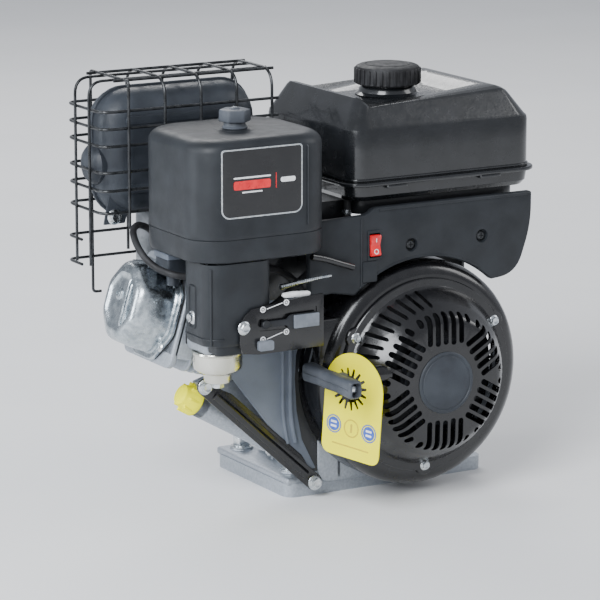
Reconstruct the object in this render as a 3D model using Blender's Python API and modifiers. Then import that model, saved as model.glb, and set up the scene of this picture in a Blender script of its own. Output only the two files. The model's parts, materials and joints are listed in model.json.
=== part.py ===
"""Small single-cylinder gasoline engine with a horizontal shaft, as an assembly of separate parts.

Metres, +Z up. The crankshaft runs along Y: the recoil starter faces -Y and the output shaft leaves
towards +Y. The cylinder leans towards -X. The origin is on the base's underside, under the crank axis.
"""

import math

import bmesh
import bpy
from mathutils import Matrix, Vector

# Engine layout
CRANK_HEIGHT = 0.125
CYLINDER_RISE = math.radians(17)
BORE_RADIUS = 0.0396
CRANK_THROW = 0.031
ROD_LENGTH = 0.117
DECK = 0.178
GAP = 0.0003
UP = Vector((0, 0, 1))

# Crankcase and its base
CASE_LEFT, CASE_RIGHT = -0.094, 0.090
CASE_FRONT, CASE_BACK, CASE_TOP = -0.044, 0.062, 0.204
BASE_LEFT, BASE_RIGHT, BASE_FRONT, BASE_BACK = -0.125, 0.108, -0.045, 0.105
BASE_THICK = 0.014
MOUNT_X, MOUNT_Y, MOUNT_RADIUS = (-0.105, 0.090), (-0.018, 0.085), 0.0055
DRAIN_SPOT = (CASE_LEFT, 0.035, 0.030)

# Shaft line
JOURNAL_RADIUS, OUTPUT_RADIUS = 0.0124, 0.0127
WEB_RADIUS, PIN_RADIUS = 0.047, 0.015
SHAFT_END = 0.158
BEARING_RADIUS = 0.0258
GEAR_MODULE = 0.128 / 42
CRANK_TEETH, CAM_TEETH = 14, 28
CAM_ANGLE = math.radians(245)

# Cooling and starting
FLYWHEEL_RADIUS = 0.088
HOUSING_RADIUS, HOUSING_FRONT, HOUSING_BACK = 0.115, -0.1003, -0.050
ROPE_Y, ROPE_Z = -0.131, 0.140
STARTER_FACE = 0.1415
GRIP_X, GRIP_HALF_LENGTH = -0.1245, 0.047

# Head and ports, measured along the cylinder from the crank axis
HEAD_START, HEAD_END, HEAD_HALF_X, HEAD_HALF_Y = 0.1788, 0.2563, 0.052, 0.050
PORT_X, PORT_Z = -0.222, 0.195

# Air cleaner, fuel tank, muffler
CLEANER_X, CLEANER_Y, CLEANER_HALF_X, CLEANER_HALF_Y = -0.195, -0.066, 0.073, 0.066
CLEANER_FLOOR, CLEANER_SEAM, CLEANER_TOP = 0.2665, 0.2895, 0.385
TANK_LOW, TANK_HIGH = Vector((-0.076, -0.088, 0.302)), Vector((0.136, 0.092, 0.402))
TANK_SEAM, TANK_WALL = 0.3205, 0.003
FILLER_X, FILLER_Y = 0.022, 0.008
MUFFLER_LOW, MUFFLER_HIGH = Vector((-0.285, 0.030, 0.287)), Vector((-0.111, 0.090, 0.412))
GUARD_LEFT, GUARD_RIGHT, GUARD_FRONT, GUARD_BACK = -0.296, -0.098, 0.0185, 0.101
GUARD_TOP, GUARD_WIRE = 0.4245, 0.0015
HOOP_HEIGHTS = (0.295, 0.317, 0.335, 0.361, 0.378, 0.395)
ARCH_FIRST, ARCH_STEP, ARCH_COUNT = -0.266, 0.040, 5
PIPE_Y = 0.0655

# Oil filler, brace and levers
FILLER_ROOT, FILLER_MOUTH = Vector((-0.086, -0.015, 0.0317)), Vector((-0.2126, -0.015, 0.1048))
DIPSTICK_WAY = Vector((-0.866, 0, 0.5))
BRACE_TOP, BRACE_FOOT = Vector((-0.2240, -0.0560, 0.1300)), Vector((-0.1000, -0.0560, 0.0165))
CHOKE_PIVOT = Vector((-0.2040, -0.1345, 0.2050))
FUEL_VALVE_PIVOT = Vector((-0.1965, -0.1355, 0.1850))
THROTTLE_PIVOT = Vector((-0.1470, -0.1260, 0.1925))
SWITCH_PIVOT = Vector((-0.0580, -0.0990, 0.2620))

# Connecting rod, whose big end turns with the crankshaft
BIG_END_RADIUS, SMALL_END_RADIUS = 0.0225, 0.0135
ROD_SPLIT = 0.0550

for old in list(bpy.data.objects):
    bpy.data.objects.remove(old, do_unlink=True)

engine = bpy.data.collections.new("small_gasoline_engine")
cutters = bpy.data.collections.new("cutters")
for group in (engine, cutters):
    bpy.context.scene.collection.children.link(group)

FINISHES = {
    "cast": ((0.55, 0.56, 0.58), 0.45, 1.0),
    "steel": ((0.62, 0.62, 0.63), 0.28, 1.0),
    "zinc": ((0.72, 0.70, 0.62), 0.30, 1.0),
    "black_gloss": ((0.012, 0.012, 0.014), 0.18, 0.0),
    "black_satin": ((0.016, 0.017, 0.019), 0.38, 0.0),
    "charcoal": ((0.035, 0.037, 0.042), 0.50, 0.0),
    "slate": ((0.060, 0.068, 0.085), 0.48, 0.0),
    "grey": ((0.20, 0.22, 0.25), 0.50, 0.0),
    "rubber": ((0.015, 0.015, 0.015), 0.75, 0.0),
    "red": ((0.60, 0.01, 0.015), 0.35, 0.0),
    "yellow": ((0.90, 0.72, 0.03), 0.45, 0.0),
    "paper": ((0.55, 0.47, 0.30), 0.90, 0.0),
    "gasket": ((0.05, 0.05, 0.05), 0.80, 0.0),
}


def material(name, finish):
    colour, roughness, metallic = FINISHES[finish]
    made = bpy.data.materials.new(name)
    made.use_nodes = True
    shader = made.node_tree.nodes["Principled BSDF"]
    shader.inputs["Base Color"].default_value = (*colour, 1.0)
    shader.inputs["Roughness"].default_value = roughness
    shader.inputs["Metallic"].default_value = metallic
    return made


def add(name, mesh, finish, parent=None):
    """Link a mesh as a finished part, or as a cutter or joined shape when it has no finish."""
    made = bpy.data.objects.new(name, mesh)
    if finish is None:
        cutters.objects.link(made)
        made.hide_render = True
        made.display_type = "WIRE"
    else:
        engine.objects.link(made)
        mesh.materials.append(material(name, finish))
    made.parent = parent
    return made


def mesh_of(name, built):
    mesh = bpy.data.meshes.new(name)
    built.to_mesh(mesh)
    built.free()
    return mesh


def soften(part, width, segments=2):
    bevel = part.modifiers.new("edges", "BEVEL")
    bevel.width = width
    bevel.segments = segments
    bevel.limit_method = "ANGLE"
    return part


def combine(part, operation, others):
    for other in others:
        joined = part.modifiers.new(operation.lower(), "BOOLEAN")
        joined.operation = operation
        joined.solver = "EXACT"
        joined.object = other
    return part


def cut(part, *others):
    return combine(part, "DIFFERENCE", others)


def unite(part, *others):
    return combine(part, "UNION", others)


def box(name, low, high, finish=None, parent=None, turn=None):
    low, high = Vector(low), Vector(high)
    built = bmesh.new()
    bmesh.ops.create_cube(built, size=1.0)
    bmesh.ops.scale(built, vec=high - low, verts=built.verts)
    made = add(name, mesh_of(name, built), finish, parent)
    made.location = (low + high) / 2
    if turn:
        made.rotation_euler = turn
    return made


def rod(name, start, end, radius, finish=None, parent=None, sides=24, end_radius=None):
    start, end = Vector(start), Vector(end)
    along = end - start
    built = bmesh.new()
    bmesh.ops.create_cone(
        built,
        cap_ends=True,
        segments=sides,
        radius1=radius,
        radius2=radius if end_radius is None else end_radius,
        depth=along.length,
    )
    made = add(name, mesh_of(name, built), finish, parent)
    made.location = (start + end) / 2
    made.rotation_euler = along.to_track_quat("Z", "Y").to_euler()
    made.data.shade_smooth()
    made.data.set_sharp_from_angle(angle=math.radians(35))
    return made


def shaft(name, start, end, radius, finish=None, sides=24, end_radius=None, x=0.0, z=CRANK_HEIGHT):
    """A cylinder along Y, on the crank axis unless x and z say otherwise."""
    return rod(name, (x, start, z), (x, end, z), radius, finish, None, sides, end_radius)


def turned(name, profile, finish, centre=(0, 0, 0), axis=(0, 0, 1), steps=32, closed=False, parent=None):
    """Turn (radius, height) points about an axis. The points run down the outer side."""
    built = bmesh.new()
    corners = [built.verts.new((radius, 0, height)) for radius, height in profile]
    for first, second in zip(corners, corners[1:]):
        built.edges.new((first, second))
    if closed:
        built.edges.new((corners[-1], corners[0]))
    made = add(name, mesh_of(name, built), finish, parent)
    screw = made.modifiers.new("turn", "SCREW")
    screw.steps = steps
    screw.render_steps = steps
    screw.use_merge_vertices = True
    screw.merge_threshold = 0.00002
    made.location = centre
    made.rotation_euler = Vector(axis).to_track_quat("Z", "Y").to_euler()
    return made


def ring(name, outer, inner, low, high, finish, centre=(0, 0, 0), axis=(0, 1, 0), steps=20, parent=None):
    profile = [(outer, high), (outer, low), (inner, low), (inner, high)]
    return turned(name, profile, finish, centre, axis, steps, True, parent)


def from_curve(name, curve, finish, place=None, parent=None):
    """A curve's evaluated mesh with its caps welded, as an object of its own."""
    guide = bpy.data.objects.new(name, curve)
    bpy.context.scene.collection.objects.link(guide)
    if place is not None:
        guide.matrix_world = place
    bpy.context.view_layer.update()
    seen = guide.evaluated_get(bpy.context.evaluated_depsgraph_get())
    mesh = bpy.data.meshes.new_from_object(seen)
    matrix = guide.matrix_world.copy()
    bpy.data.objects.remove(guide, do_unlink=True)
    built = bmesh.new()
    built.from_mesh(mesh)
    bmesh.ops.remove_doubles(built, verts=built.verts, dist=0.000005)
    bmesh.ops.recalc_face_normals(built, faces=built.faces)
    bpy.data.meshes.remove(mesh)
    made = add(name, mesh_of(name, built), finish, parent)
    made.matrix_local = matrix
    return made


def slab(name, outline, thickness, place, finish=None, parent=None):
    """A flat outline in its own XY plane, thickened to both sides of it."""
    curve = bpy.data.curves.new(name, "CURVE")
    curve.dimensions = "2D"
    curve.fill_mode = "BOTH"
    curve.extrude = thickness / 2
    spline = curve.splines.new("POLY")
    spline.points.add(len(outline) - 1)
    for point, (x, y) in zip(spline.points, outline):
        point.co = (x, y, 0, 1)
    spline.use_cyclic_u = True
    return from_curve(name, curve, finish, place, parent)


def wire(name, route, radius, finish=None, resolution=1):
    curve = bpy.data.curves.new(name, "CURVE")
    curve.dimensions = "3D"
    curve.bevel_depth = radius
    curve.bevel_resolution = resolution
    curve.use_fill_caps = True
    spline = curve.splines.new("POLY")
    spline.points.add(len(route) - 1)
    for point, place in zip(spline.points, route):
        point.co = (*place, 1)
    return from_curve(name, curve, finish)


def pivot_at(part, place):
    """Move a part's origin to a joint's axis without moving the part."""
    part.data.transform(Matrix.Translation(part.location - place))
    part.location = place
    return part


def smooth_route(knots, count):
    """Points spread along a Catmull-Rom curve through the knots."""
    knots = [Vector(knot) for knot in knots]
    ends = [2 * knots[0] - knots[1], *knots, 2 * knots[-1] - knots[-2]]
    route = []
    for step in range(count):
        spot = step / (count - 1) * (len(knots) - 1)
        index = min(int(spot), len(knots) - 2)
        t = spot - index
        a, b, c, d = ends[index : index + 4]
        bend = (2 * a - 5 * b + 4 * c - d) * t**2 + (3 * b - a - 3 * c + d) * t**3
        route.append(0.5 * (2 * b + (c - a) * t + bend))
    return route


def rounded_rectangle(half_x, half_y, radius, corner_steps=4):
    outline = []
    for quarter, (sign_x, sign_y) in enumerate(((1, 1), (-1, 1), (-1, -1), (1, -1))):
        for step in range(corner_steps + 1):
            angle = math.radians(90) * (quarter + step / corner_steps)
            outline.append(
                (
                    sign_x * (half_x - radius) + radius * math.cos(angle),
                    sign_y * (half_y - radius) + radius * math.sin(angle),
                )
            )
    return outline


def facing_front(x, y, z):
    """A frame whose local X is world X, local Y is world Z and local Z is towards the front (-Y)."""
    return Matrix.Translation((x, y, z)) @ Matrix.Rotation(math.radians(90), 4, "X")


def lying(x, y, z):
    return Matrix.Translation((x, y, z))


def gear_outline(teeth, phase):
    """Trapezoid teeth, with a little backlash, on a pitch circle of module times teeth."""
    pitch = GEAR_MODULE * teeth / 2
    outline = []
    for tooth in range(teeth):
        middle = phase + 2 * math.pi * tooth / teeth
        for share, radius in ((-0.30, -0.95), (-0.11, 0.75), (0.11, 0.75), (0.30, -0.95)):
            angle = middle + share * 2 * math.pi / teeth
            outline.append(
                (
                    (pitch + radius * GEAR_MODULE) * math.cos(angle),
                    (pitch + radius * GEAR_MODULE) * math.sin(angle),
                )
            )
    return outline


def crankcase(cylinder):
    part = box("crankcase", (CASE_LEFT, CASE_FRONT, 0.008), (CASE_RIGHT, CASE_BACK, CASE_TOP), "cast")
    soften(part, 0.006)
    unite(
        part,
        box("base_plate", (BASE_LEFT, BASE_FRONT, 0), (BASE_RIGHT, BASE_BACK, BASE_THICK)),
        rod("barrel", (0, 0, 0.05), (0, 0, DECK - 0.001), 0.046, None, cylinder, 28),
        box("deck_flange", (-HEAD_HALF_X, -0.049, DECK - 0.012), (HEAD_HALF_X, 0.049, DECK), None, cylinder),
    )
    for fin in range(3):
        height = 0.108 + 0.018 * fin
        unite(part, rod("barrel_fin", (0, 0, height), (0, 0, height + 0.004), 0.0505, None, cylinder, 28))
    unite(part, rod("filler_tube", FILLER_ROOT, FILLER_MOUTH, 0.0135, None, None, 20))
    cut(
        part,
        box("crank_room", (-0.078, -0.034, 0.020), (0.076, CASE_BACK + 0.02, 0.192)),
        rod("bore", (0, 0, 0.02), (0, 0, DECK + 0.02), BORE_RADIUS, None, cylinder, 32),
    )
    unite(part, shaft("front_boss", CASE_FRONT + 0.001, -0.022, 0.034, None, 28))
    cam_x, cam_z = cam_place()
    bore_start = FILLER_ROOT + (FILLER_ROOT - FILLER_MOUTH) * 0.223
    bore_end = FILLER_MOUTH + (FILLER_MOUTH - FILLER_ROOT) * 0.1
    drain_start, drain_end = (CASE_LEFT - 0.02, *DRAIN_SPOT[1:]), (-0.07, *DRAIN_SPOT[1:])
    cut(
        part,
        shaft("front_bearing_bore", CASE_FRONT - 0.02, 0.0, BEARING_RADIUS + GAP, None, 28),
        shaft("cam_front_bore", -0.0395, -0.02, 0.0069, None, 16, None, cam_x, cam_z),
        rod("filler_bore", bore_start, bore_end, 0.0092, None, None, 16),
        rod("drain_bore", drain_start, drain_end, 0.0063, None, None, 16),
    )
    for x in MOUNT_X:
        for y in MOUNT_Y:
            cut(part, rod("mount_hole", (x, y, -0.01), (x, y, 0.03), MOUNT_RADIUS, None, None, 16))


def cam_place():
    distance = GEAR_MODULE * (CRANK_TEETH + CAM_TEETH) / 2
    return distance * math.cos(CAM_ANGLE), CRANK_HEIGHT + distance * math.sin(CAM_ANGLE)


def crankcase_cover():
    inner = CASE_BACK + GAP
    low, high = (CASE_LEFT, inner, BASE_THICK + 0.002), (CASE_RIGHT, inner + 0.012, CASE_TOP)
    part = box("crankcase_cover", low, high, "cast")
    soften(part, 0.003)
    unite(part, shaft("output_pad", inner + 0.004, 0.086, 0.056, None, 32))
    unite(part, shaft("rear_boss", 0.050, inner + 0.006, 0.033, None, 28))
    cam_x, cam_z = cam_place()
    cut(
        part,
        shaft("rear_bearing_bore", 0.03, 0.0668, BEARING_RADIUS + GAP, None, 28),
        shaft("seal_bore", 0.06, 0.1, 0.021, None, 28),
        shaft("cam_rear_bore", 0.05, 0.0695, 0.0069, None, 16, None, cam_x, cam_z),
    )
    for bolt in range(4):
        angle = math.radians(45 + 90 * bolt)
        x, z = 0.046 * math.cos(angle), CRANK_HEIGHT + 0.046 * math.sin(angle)
        cut(part, shaft("output_bolt_hole", 0.0765, 0.1, 0.0035, None, 12, None, x, z))


def crankshaft(pin_x, pin_z):
    part = shaft("crankshaft", -0.0842, -0.0195, JOURNAL_RADIUS, "steel")
    half_tooth = math.pi / CRANK_TEETH
    gear_place = facing_front(0, 0.032, CRANK_HEIGHT) @ Matrix.Scale(-1, 4, (0, 1, 0))
    gear = slab("crank_gear", gear_outline(CRANK_TEETH, half_tooth - CAM_ANGLE), 0.012, gear_place)
    unite(
        part,
        shaft("thread_end", -0.104, -0.083, 0.0078, None, 20),
        shaft("front_web", -0.020, -0.009, WEB_RADIUS, None, 32),
        shaft("crank_pin", -0.010, 0.013, PIN_RADIUS, None, 24, None, pin_x, pin_z),
        shaft("rear_web", 0.012, 0.023, WEB_RADIUS, None, 32),
        shaft("rear_journal", 0.022, 0.069, JOURNAL_RADIUS),
        gear,
        shaft("output_shaft", 0.068, SHAFT_END, OUTPUT_RADIUS, None, 28),
    )
    key_floor = CRANK_HEIGHT + 0.0095
    cut(part, box("keyway", (-0.0032, 0.104, key_floor), (0.0032, SHAFT_END + 0.01, key_floor + 0.02)))
    box("shaft_key", (-0.0029, 0.106, CRANK_HEIGHT + 0.0098), (0.0029, 0.152, CRANK_HEIGHT + 0.0158), "steel")


def camshaft():
    cam_x, cam_z = cam_place()
    part = shaft("camshaft", -0.0390, 0.0690, 0.0065, "steel", 16, None, cam_x, cam_z)
    toward_crank = math.pi - CAM_ANGLE
    gear_place = facing_front(cam_x, 0.032, cam_z) @ Matrix.Scale(-1, 4, (0, 1, 0))
    gear = slab("cam_gear", gear_outline(CAM_TEETH, toward_crank), 0.010, gear_place)
    unite(part, gear)
    for start, lift_angle in ((-0.0190, 20), (0.0140, 130)):
        lift_x = cam_x + 0.0035 * math.cos(math.radians(lift_angle))
        lift_z = cam_z + 0.0035 * math.sin(math.radians(lift_angle))
        unite(part, shaft("cam_lobe", start, start + 0.007, 0.0105, None, 20, None, lift_x, lift_z))


def running_gear(cylinder):
    """The rod, piston and wrist pin, in the cylinder's frame, at the top of the stroke.

    The rod is open just above its big end, which stays on the crank pin as the crankshaft turns.
    """
    wrist = CRANK_THROW + ROD_LENGTH
    front, back = (0, -0.0080, CRANK_THROW), (0, 0.0110, CRANK_THROW)
    big_end = rod("rod_big_end", front, back, BIG_END_RADIUS, "cast", cylinder)
    bore_front, bore_back = (0, -0.03, CRANK_THROW), (0, 0.03, CRANK_THROW)
    cut(big_end, rod("big_end_bore", bore_front, bore_back, PIN_RADIUS + GAP, None, cylinder))
    part = rod("connecting_rod", (0, -0.009, wrist), (0, 0.012, wrist), SMALL_END_RADIUS, "cast", cylinder)
    unite(part, box("rod_beam", (-0.007, -0.004, ROD_SPLIT), (0.007, 0.007, wrist - 0.004), None, cylinder))
    cut(part, rod("small_end_bore", (0, -0.03, wrist), (0, 0.03, wrist), 0.0088, None, cylinder, 20))
    rod("wrist_pin", (0, -0.034, wrist), (0, 0.034, wrist), 0.0085, "steel", cylinder, 20)
    skirt, crown = (0, 0, wrist - 0.022), (0, 0, DECK - 0.001)
    piston = rod("piston", skirt, crown, BORE_RADIUS - 0.0002, "cast", cylinder, 24)
    cut(
        piston,
        box("piston_hollow", (-0.030, -0.016, wrist - 0.04), (0.030, 0.016, DECK - 0.009), None, cylinder),
        rod("wrist_bore", (0, -0.05, wrist), (0, 0.05, wrist), 0.0088, None, cylinder, 20),
    )
    for groove in range(2):
        height = DECK - 0.006 - 0.005 * groove
        low, high = height - 0.001, height + 0.001
        cut(piston, ring("ring_groove", 0.05, 0.0375, low, high, None, (0, 0, 0), (0, 0, 1), 24, cylinder))


def cylinder_head(cylinder):
    low, high = (-HEAD_HALF_X, -HEAD_HALF_Y, HEAD_START), (HEAD_HALF_X, HEAD_HALF_Y, HEAD_END)
    part = box("cylinder_head", low, high, "cast", cylinder)
    soften(part, 0.003, 1)
    port_height = (CRANK_HEIGHT - PORT_Z) * -math.sin(CYLINDER_RISE) - PORT_X * math.cos(CYLINDER_RISE)
    port_x = 0.002
    cut(
        part,
        rod("chamber", (0, 0, 0.17), (0, 0, HEAD_START + 0.007), 0.036, None, cylinder, 28),
        rod("intake_port", (port_x, -0.07, port_height), (port_x, -0.016, HEAD_START), 0.0115, None, cylinder, 16),
        rod("exhaust_port", (port_x, 0.07, port_height), (port_x, 0.016, HEAD_START), 0.0105, None, cylinder, 16),
    )
    for fin in range(4):
        height = HEAD_START + 0.012 + 0.013 * fin
        cut(part, box("fin_gap", (-0.06, -0.06, height), (-0.036, 0.06, height + 0.005), None, cylinder))
    plug_foot = Vector((0.046, 0.012, 0.208))
    plug_way = Vector((0.36, 0.10, 0.93)).normalized()
    bore_reach = plug_way * 0.04
    cut(part, rod("plug_bore", plug_foot - bore_reach, plug_foot + bore_reach, 0.0080, None, cylinder, 16))
    for name, side in (("intake_valve", -1), ("exhaust_valve", 1)):
        y = 0.019 * side
        seat = Vector((port_x, y, HEAD_START))
        cut(part, rod("guide", seat, seat + UP * 0.091, 0.0034, None, cylinder, 12))
        stem = rod(name, seat + UP * 0.0075, seat + UP * 0.0952, 0.0030, "steel", cylinder, 12)
        face = rod(name + "_face", seat + UP * 0.0020, seat + UP * 0.0068, 0.0145, None, cylinder, 24)
        neck = rod(name + "_neck", seat + UP * 0.0060, seat + UP * 0.012, 0.008, None, cylinder, 16, 0.0029)
        unite(stem, face, neck)
        cut(part, rod("seat", seat + UP * 0.002, seat + UP * 0.014, 0.0105, None, cylinder, 20))
    low, high = (-0.051, -0.0485, DECK + GAP), (0.051, 0.0485, HEAD_START - GAP)
    head_gasket = box("head_gasket", low, high, "gasket", cylinder)
    cut(head_gasket, rod("gasket_bore", (0, 0, 0.17), (0, 0, 0.19), 0.0405, None, cylinder, 28))
    plug = rod("spark_plug", plug_foot, plug_foot + plug_way * 0.042, 0.0070, "steel", cylinder, 16)
    hex_low, hex_high = plug_foot + plug_way * 0.024, plug_foot + plug_way * 0.032
    unite(plug, rod("plug_hex", hex_low, hex_high, 0.0098, None, cylinder, 6))
    room_low, room_high = plug_foot + plug_way * 0.019, plug_foot + plug_way * 0.08
    cut(part, rod("plug_room", room_low, room_high, 0.0125, None, cylinder, 20))
    boot_low, boot_high = plug_foot + plug_way * 0.0423, plug_foot + plug_way * 0.068
    rod("spark_plug_boot", boot_low, boot_high, 0.0090, "rubber", cylinder, 20, 0.0075)


def valve_cover(cylinder):
    """An eight-sided pressed cover, on its gasket, over the valve stems."""
    octagon = [
        (0.054 * math.cos(math.radians(22.5 + 45 * k)), 0.050 * math.sin(math.radians(22.5 + 45 * k)))
        for k in range(8)
    ]
    opening = [(0.80 * x, 0.80 * y) for x, y in octagon]
    place = lying(0, 0, HEAD_END + GAP + 0.0006)
    gasket = slab("valve_cover_gasket", octagon, 0.0012, place, "gasket", cylinder)
    cut(gasket, slab("gasket_window", opening, 0.01, lying(0, 0, HEAD_END), None, cylinder))
    foot = HEAD_END + 2 * GAP + 0.0012
    part = slab("valve_cover", octagon, 0.003, lying(0, 0, foot + 0.0015), "zinc", cylinder)

    def pan(name, wide, narrow, low, high):
        made = rod(name, (0, 0, low), (0, 0, high), wide, None, cylinder, 8, narrow)
        made.rotation_euler = (0, 0, math.radians(22.5))
        return made

    unite(part, pan("cover_dome", 0.0475, 0.040, foot + 0.001, foot + 0.045))
    cut(part, pan("cover_hollow", 0.0450, 0.0375, foot - 0.001, foot + 0.0428))


def flywheel_group():
    centre, front = (0, 0, CRANK_HEIGHT), (0, -1, 0)
    flywheel = ring("flywheel", FLYWHEEL_RADIUS, JOURNAL_RADIUS + GAP, 0.053, 0.083, "cast", centre, front, 28)
    cut(flywheel, ring("flywheel_recess", 0.076, 0.026, 0.04, 0.072, None, centre, front, 24))
    fan = ring("cooling_fan", 0.0875, 0.015, 0.0846, 0.0866, "charcoal", centre, front, 24)
    blades = bmesh.new()
    for blade in range(12):
        angle = 2 * math.pi * blade / 12
        lean = Matrix.Rotation(angle, 4, "Z") @ Matrix.Translation((0.066, 0, 0.0912))
        lean = lean @ Matrix.Rotation(math.radians(25), 4, "Z") @ Matrix.Diagonal((0.036, 0.0022, 0.0100, 1))
        bmesh.ops.create_cube(blades, size=1.0, matrix=lean)
    fins = add("fan_blades", mesh_of("fan_blades", blades), None)
    fins.location = centre
    fins.rotation_euler = Vector(front).to_track_quat("Z", "Y").to_euler()
    unite(fan, fins)
    cup = [(0.036, 0.1060), (0.036, 0.0869), (0.0082, 0.0869)]
    cup += [(0.0082, 0.0889), (0.034, 0.0889), (0.034, 0.1060)]
    turned("starter_cup", cup, "steel", centre, front, 20, True)
    nut = rod("flywheel_nut", (0, -0.0892, CRANK_HEIGHT), (0, -0.0985, CRANK_HEIGHT), 0.0145, "steel", None, 6)
    cut(nut, shaft("nut_bore", -0.11, -0.08, 0.0081, None, 20))


def blower_housing():
    depth = HOUSING_BACK - HOUSING_FRONT
    centre_y = (HOUSING_BACK + HOUSING_FRONT) / 2
    part = shaft("blower_housing", HOUSING_FRONT, HOUSING_BACK, HOUSING_RADIUS, "black_gloss", 36)
    wall = 0.0025
    cut(part, shaft("blower_room", HOUSING_FRONT + wall, HOUSING_BACK + 0.01, HOUSING_RADIUS - wall, None, 36))
    cut(part, shaft("air_inlet", HOUSING_FRONT - 0.01, HOUSING_BACK, 0.0865, None, 32))
    duct = box("air_outlet", (-0.125, centre_y - depth * 0.1, 0.135), (-0.09, HOUSING_BACK + 0.01, 0.185))
    cut(part, duct)
    low, high = (-0.083, -0.078, 0.184), (-0.057, -0.060, 0.200)
    coil = box("ignition_coil", low, high, "rubber", None, (0, math.radians(-45), 0))
    soften(coil, 0.001, 1)


def recoil_starter():
    """The cover with its vents and rope eyelet, and the rope pulley on its post."""
    centre = (0, 0, CRANK_HEIGHT)
    face = STARTER_FACE
    outer = [(0, face + 0.002), (0.029, face + 0.002), (0.030, face), (0.060, face), (0.066, face - 0.0025)]
    outer += [(0.076, 0.1270), (0.088, 0.1065), (0.098, 0.1040), (0.098, 0.1006), (0.086, 0.1006)]
    inner = [(0.0738, 0.1250), (0.0640, 0.1365), (0.0060, face - 0.0025), (0.0060, 0.1090), (0, 0.1090)]
    part = turned("recoil_cover", outer + inner, "black_gloss", centre, (0, -1, 0), 32)
    for slot in range(12):
        angle = 2 * math.pi * (slot + 0.5) / 12
        slot_x, slot_z = 0.046 * math.cos(angle), CRANK_HEIGHT + 0.046 * math.sin(angle)
        low = (slot_x - 0.011, -0.150, slot_z - 0.0018)
        high = (slot_x + 0.011, -0.130, slot_z + 0.0018)
        cut(part, box("vent_slot", low, high, None, None, (0, -angle, 0)))
    eyelet_root, eyelet_mouth = (-0.0600, ROPE_Y, ROPE_Z), (-0.0860, ROPE_Y, ROPE_Z)
    unite(part, rod("rope_eyelet", eyelet_root, eyelet_mouth, 0.0085, None, None, 16))
    cut(part, rod("rope_hole", (-0.04, ROPE_Y, ROPE_Z), (-0.10, ROPE_Y, ROPE_Z), 0.0030, None, None, 10))
    groove = [(0.044, 0.1370), (0.044, 0.1350), (0.036, 0.1335), (0.036, 0.1285)]
    groove += [(0.044, 0.1270), (0.044, 0.1250), (0.0064, 0.1250), (0.0064, 0.1370)]
    turned("starter_pulley", groove, "charcoal", centre, (0, -1, 0), 24, True)


def starter_grip():
    """The rope, its T-shaped grip lying along Y, and the tag that hangs on the rope."""
    rod("starter_rope", (-0.0462, ROPE_Y, ROPE_Z), (-0.1077, ROPE_Y, ROPE_Z), 0.0022, "rubber", None, 8)
    low = (GRIP_X - 0.0075, ROPE_Y - GRIP_HALF_LENGTH, ROPE_Z - 0.010)
    high = (GRIP_X + 0.0075, ROPE_Y + GRIP_HALF_LENGTH, ROPE_Z + 0.010)
    grip = box("starter_handle", low, high, "slate")
    soften(grip, 0.003)
    unite(grip, rod("grip_neck", (GRIP_X, ROPE_Y, ROPE_Z), (-0.1080, ROPE_Y, ROPE_Z), 0.0070, None, None, 16))
    half_width, centre_x, top_centre, bottom = 0.036, 0.0055, 0.001, -0.070
    tag = [
        (centre_x + half_width * math.cos(math.radians(20 * k)), top_centre + half_width * math.sin(math.radians(20 * k)))
        for k in range(10)
    ]
    corner = 0.008
    left, right = centre_x - half_width, centre_x + half_width
    tag += [(left, bottom + corner), (left + corner, bottom)]
    tag += [(right - corner, bottom), (right, bottom + corner)]
    sideways = Matrix.Rotation(math.radians(-70), 4, "Z") @ Matrix.Rotation(math.radians(90), 4, "X")
    hanging = Matrix.Rotation(math.radians(-4.5), 4, "Z")
    place = Matrix.Translation((-0.1040, ROPE_Y, ROPE_Z - 0.011)) @ sideways @ hanging
    label = slab("hang_tag", tag, 0.0010, place, "yellow")
    hole = 0.0135
    turns = [2 * math.pi * k / 16 for k in range(16)]
    circle = [(hole * math.cos(turn), hole * math.sin(turn)) for turn in turns]
    cut(label, slab("tag_hole", circle, 0.01, place))


def bearings():
    centre = (0, 0, CRANK_HEIGHT)
    inner = JOURNAL_RADIUS + GAP
    ring("front_bearing", BEARING_RADIUS, inner, -0.0430, -0.0280, "steel", centre)
    ring("rear_bearing", BEARING_RADIUS, inner, 0.0510, 0.0660, "steel", centre)
    ring("oil_seal", 0.0206, OUTPUT_RADIUS + GAP, 0.0700, 0.0790, "rubber", centre)


def cylinder_shroud():
    outline = [(-0.194, 0.222), (-0.194, 0.136), (-0.112, 0.030), (-0.097, 0.030)]
    outline += [(-0.117, 0.085), (-0.121, 0.125)]
    outline += [(-0.116, 0.165), (-0.100, 0.200), (-0.094, 0.222)]
    plate = slab("cylinder_shroud", outline, 0.002, facing_front(0, -0.0525, 0), "slate")
    rib = box("shroud_rib", (-0.135, -0.0560, 0.075), (-0.131, -0.0520, 0.210))
    unite(plate, rib)


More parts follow.
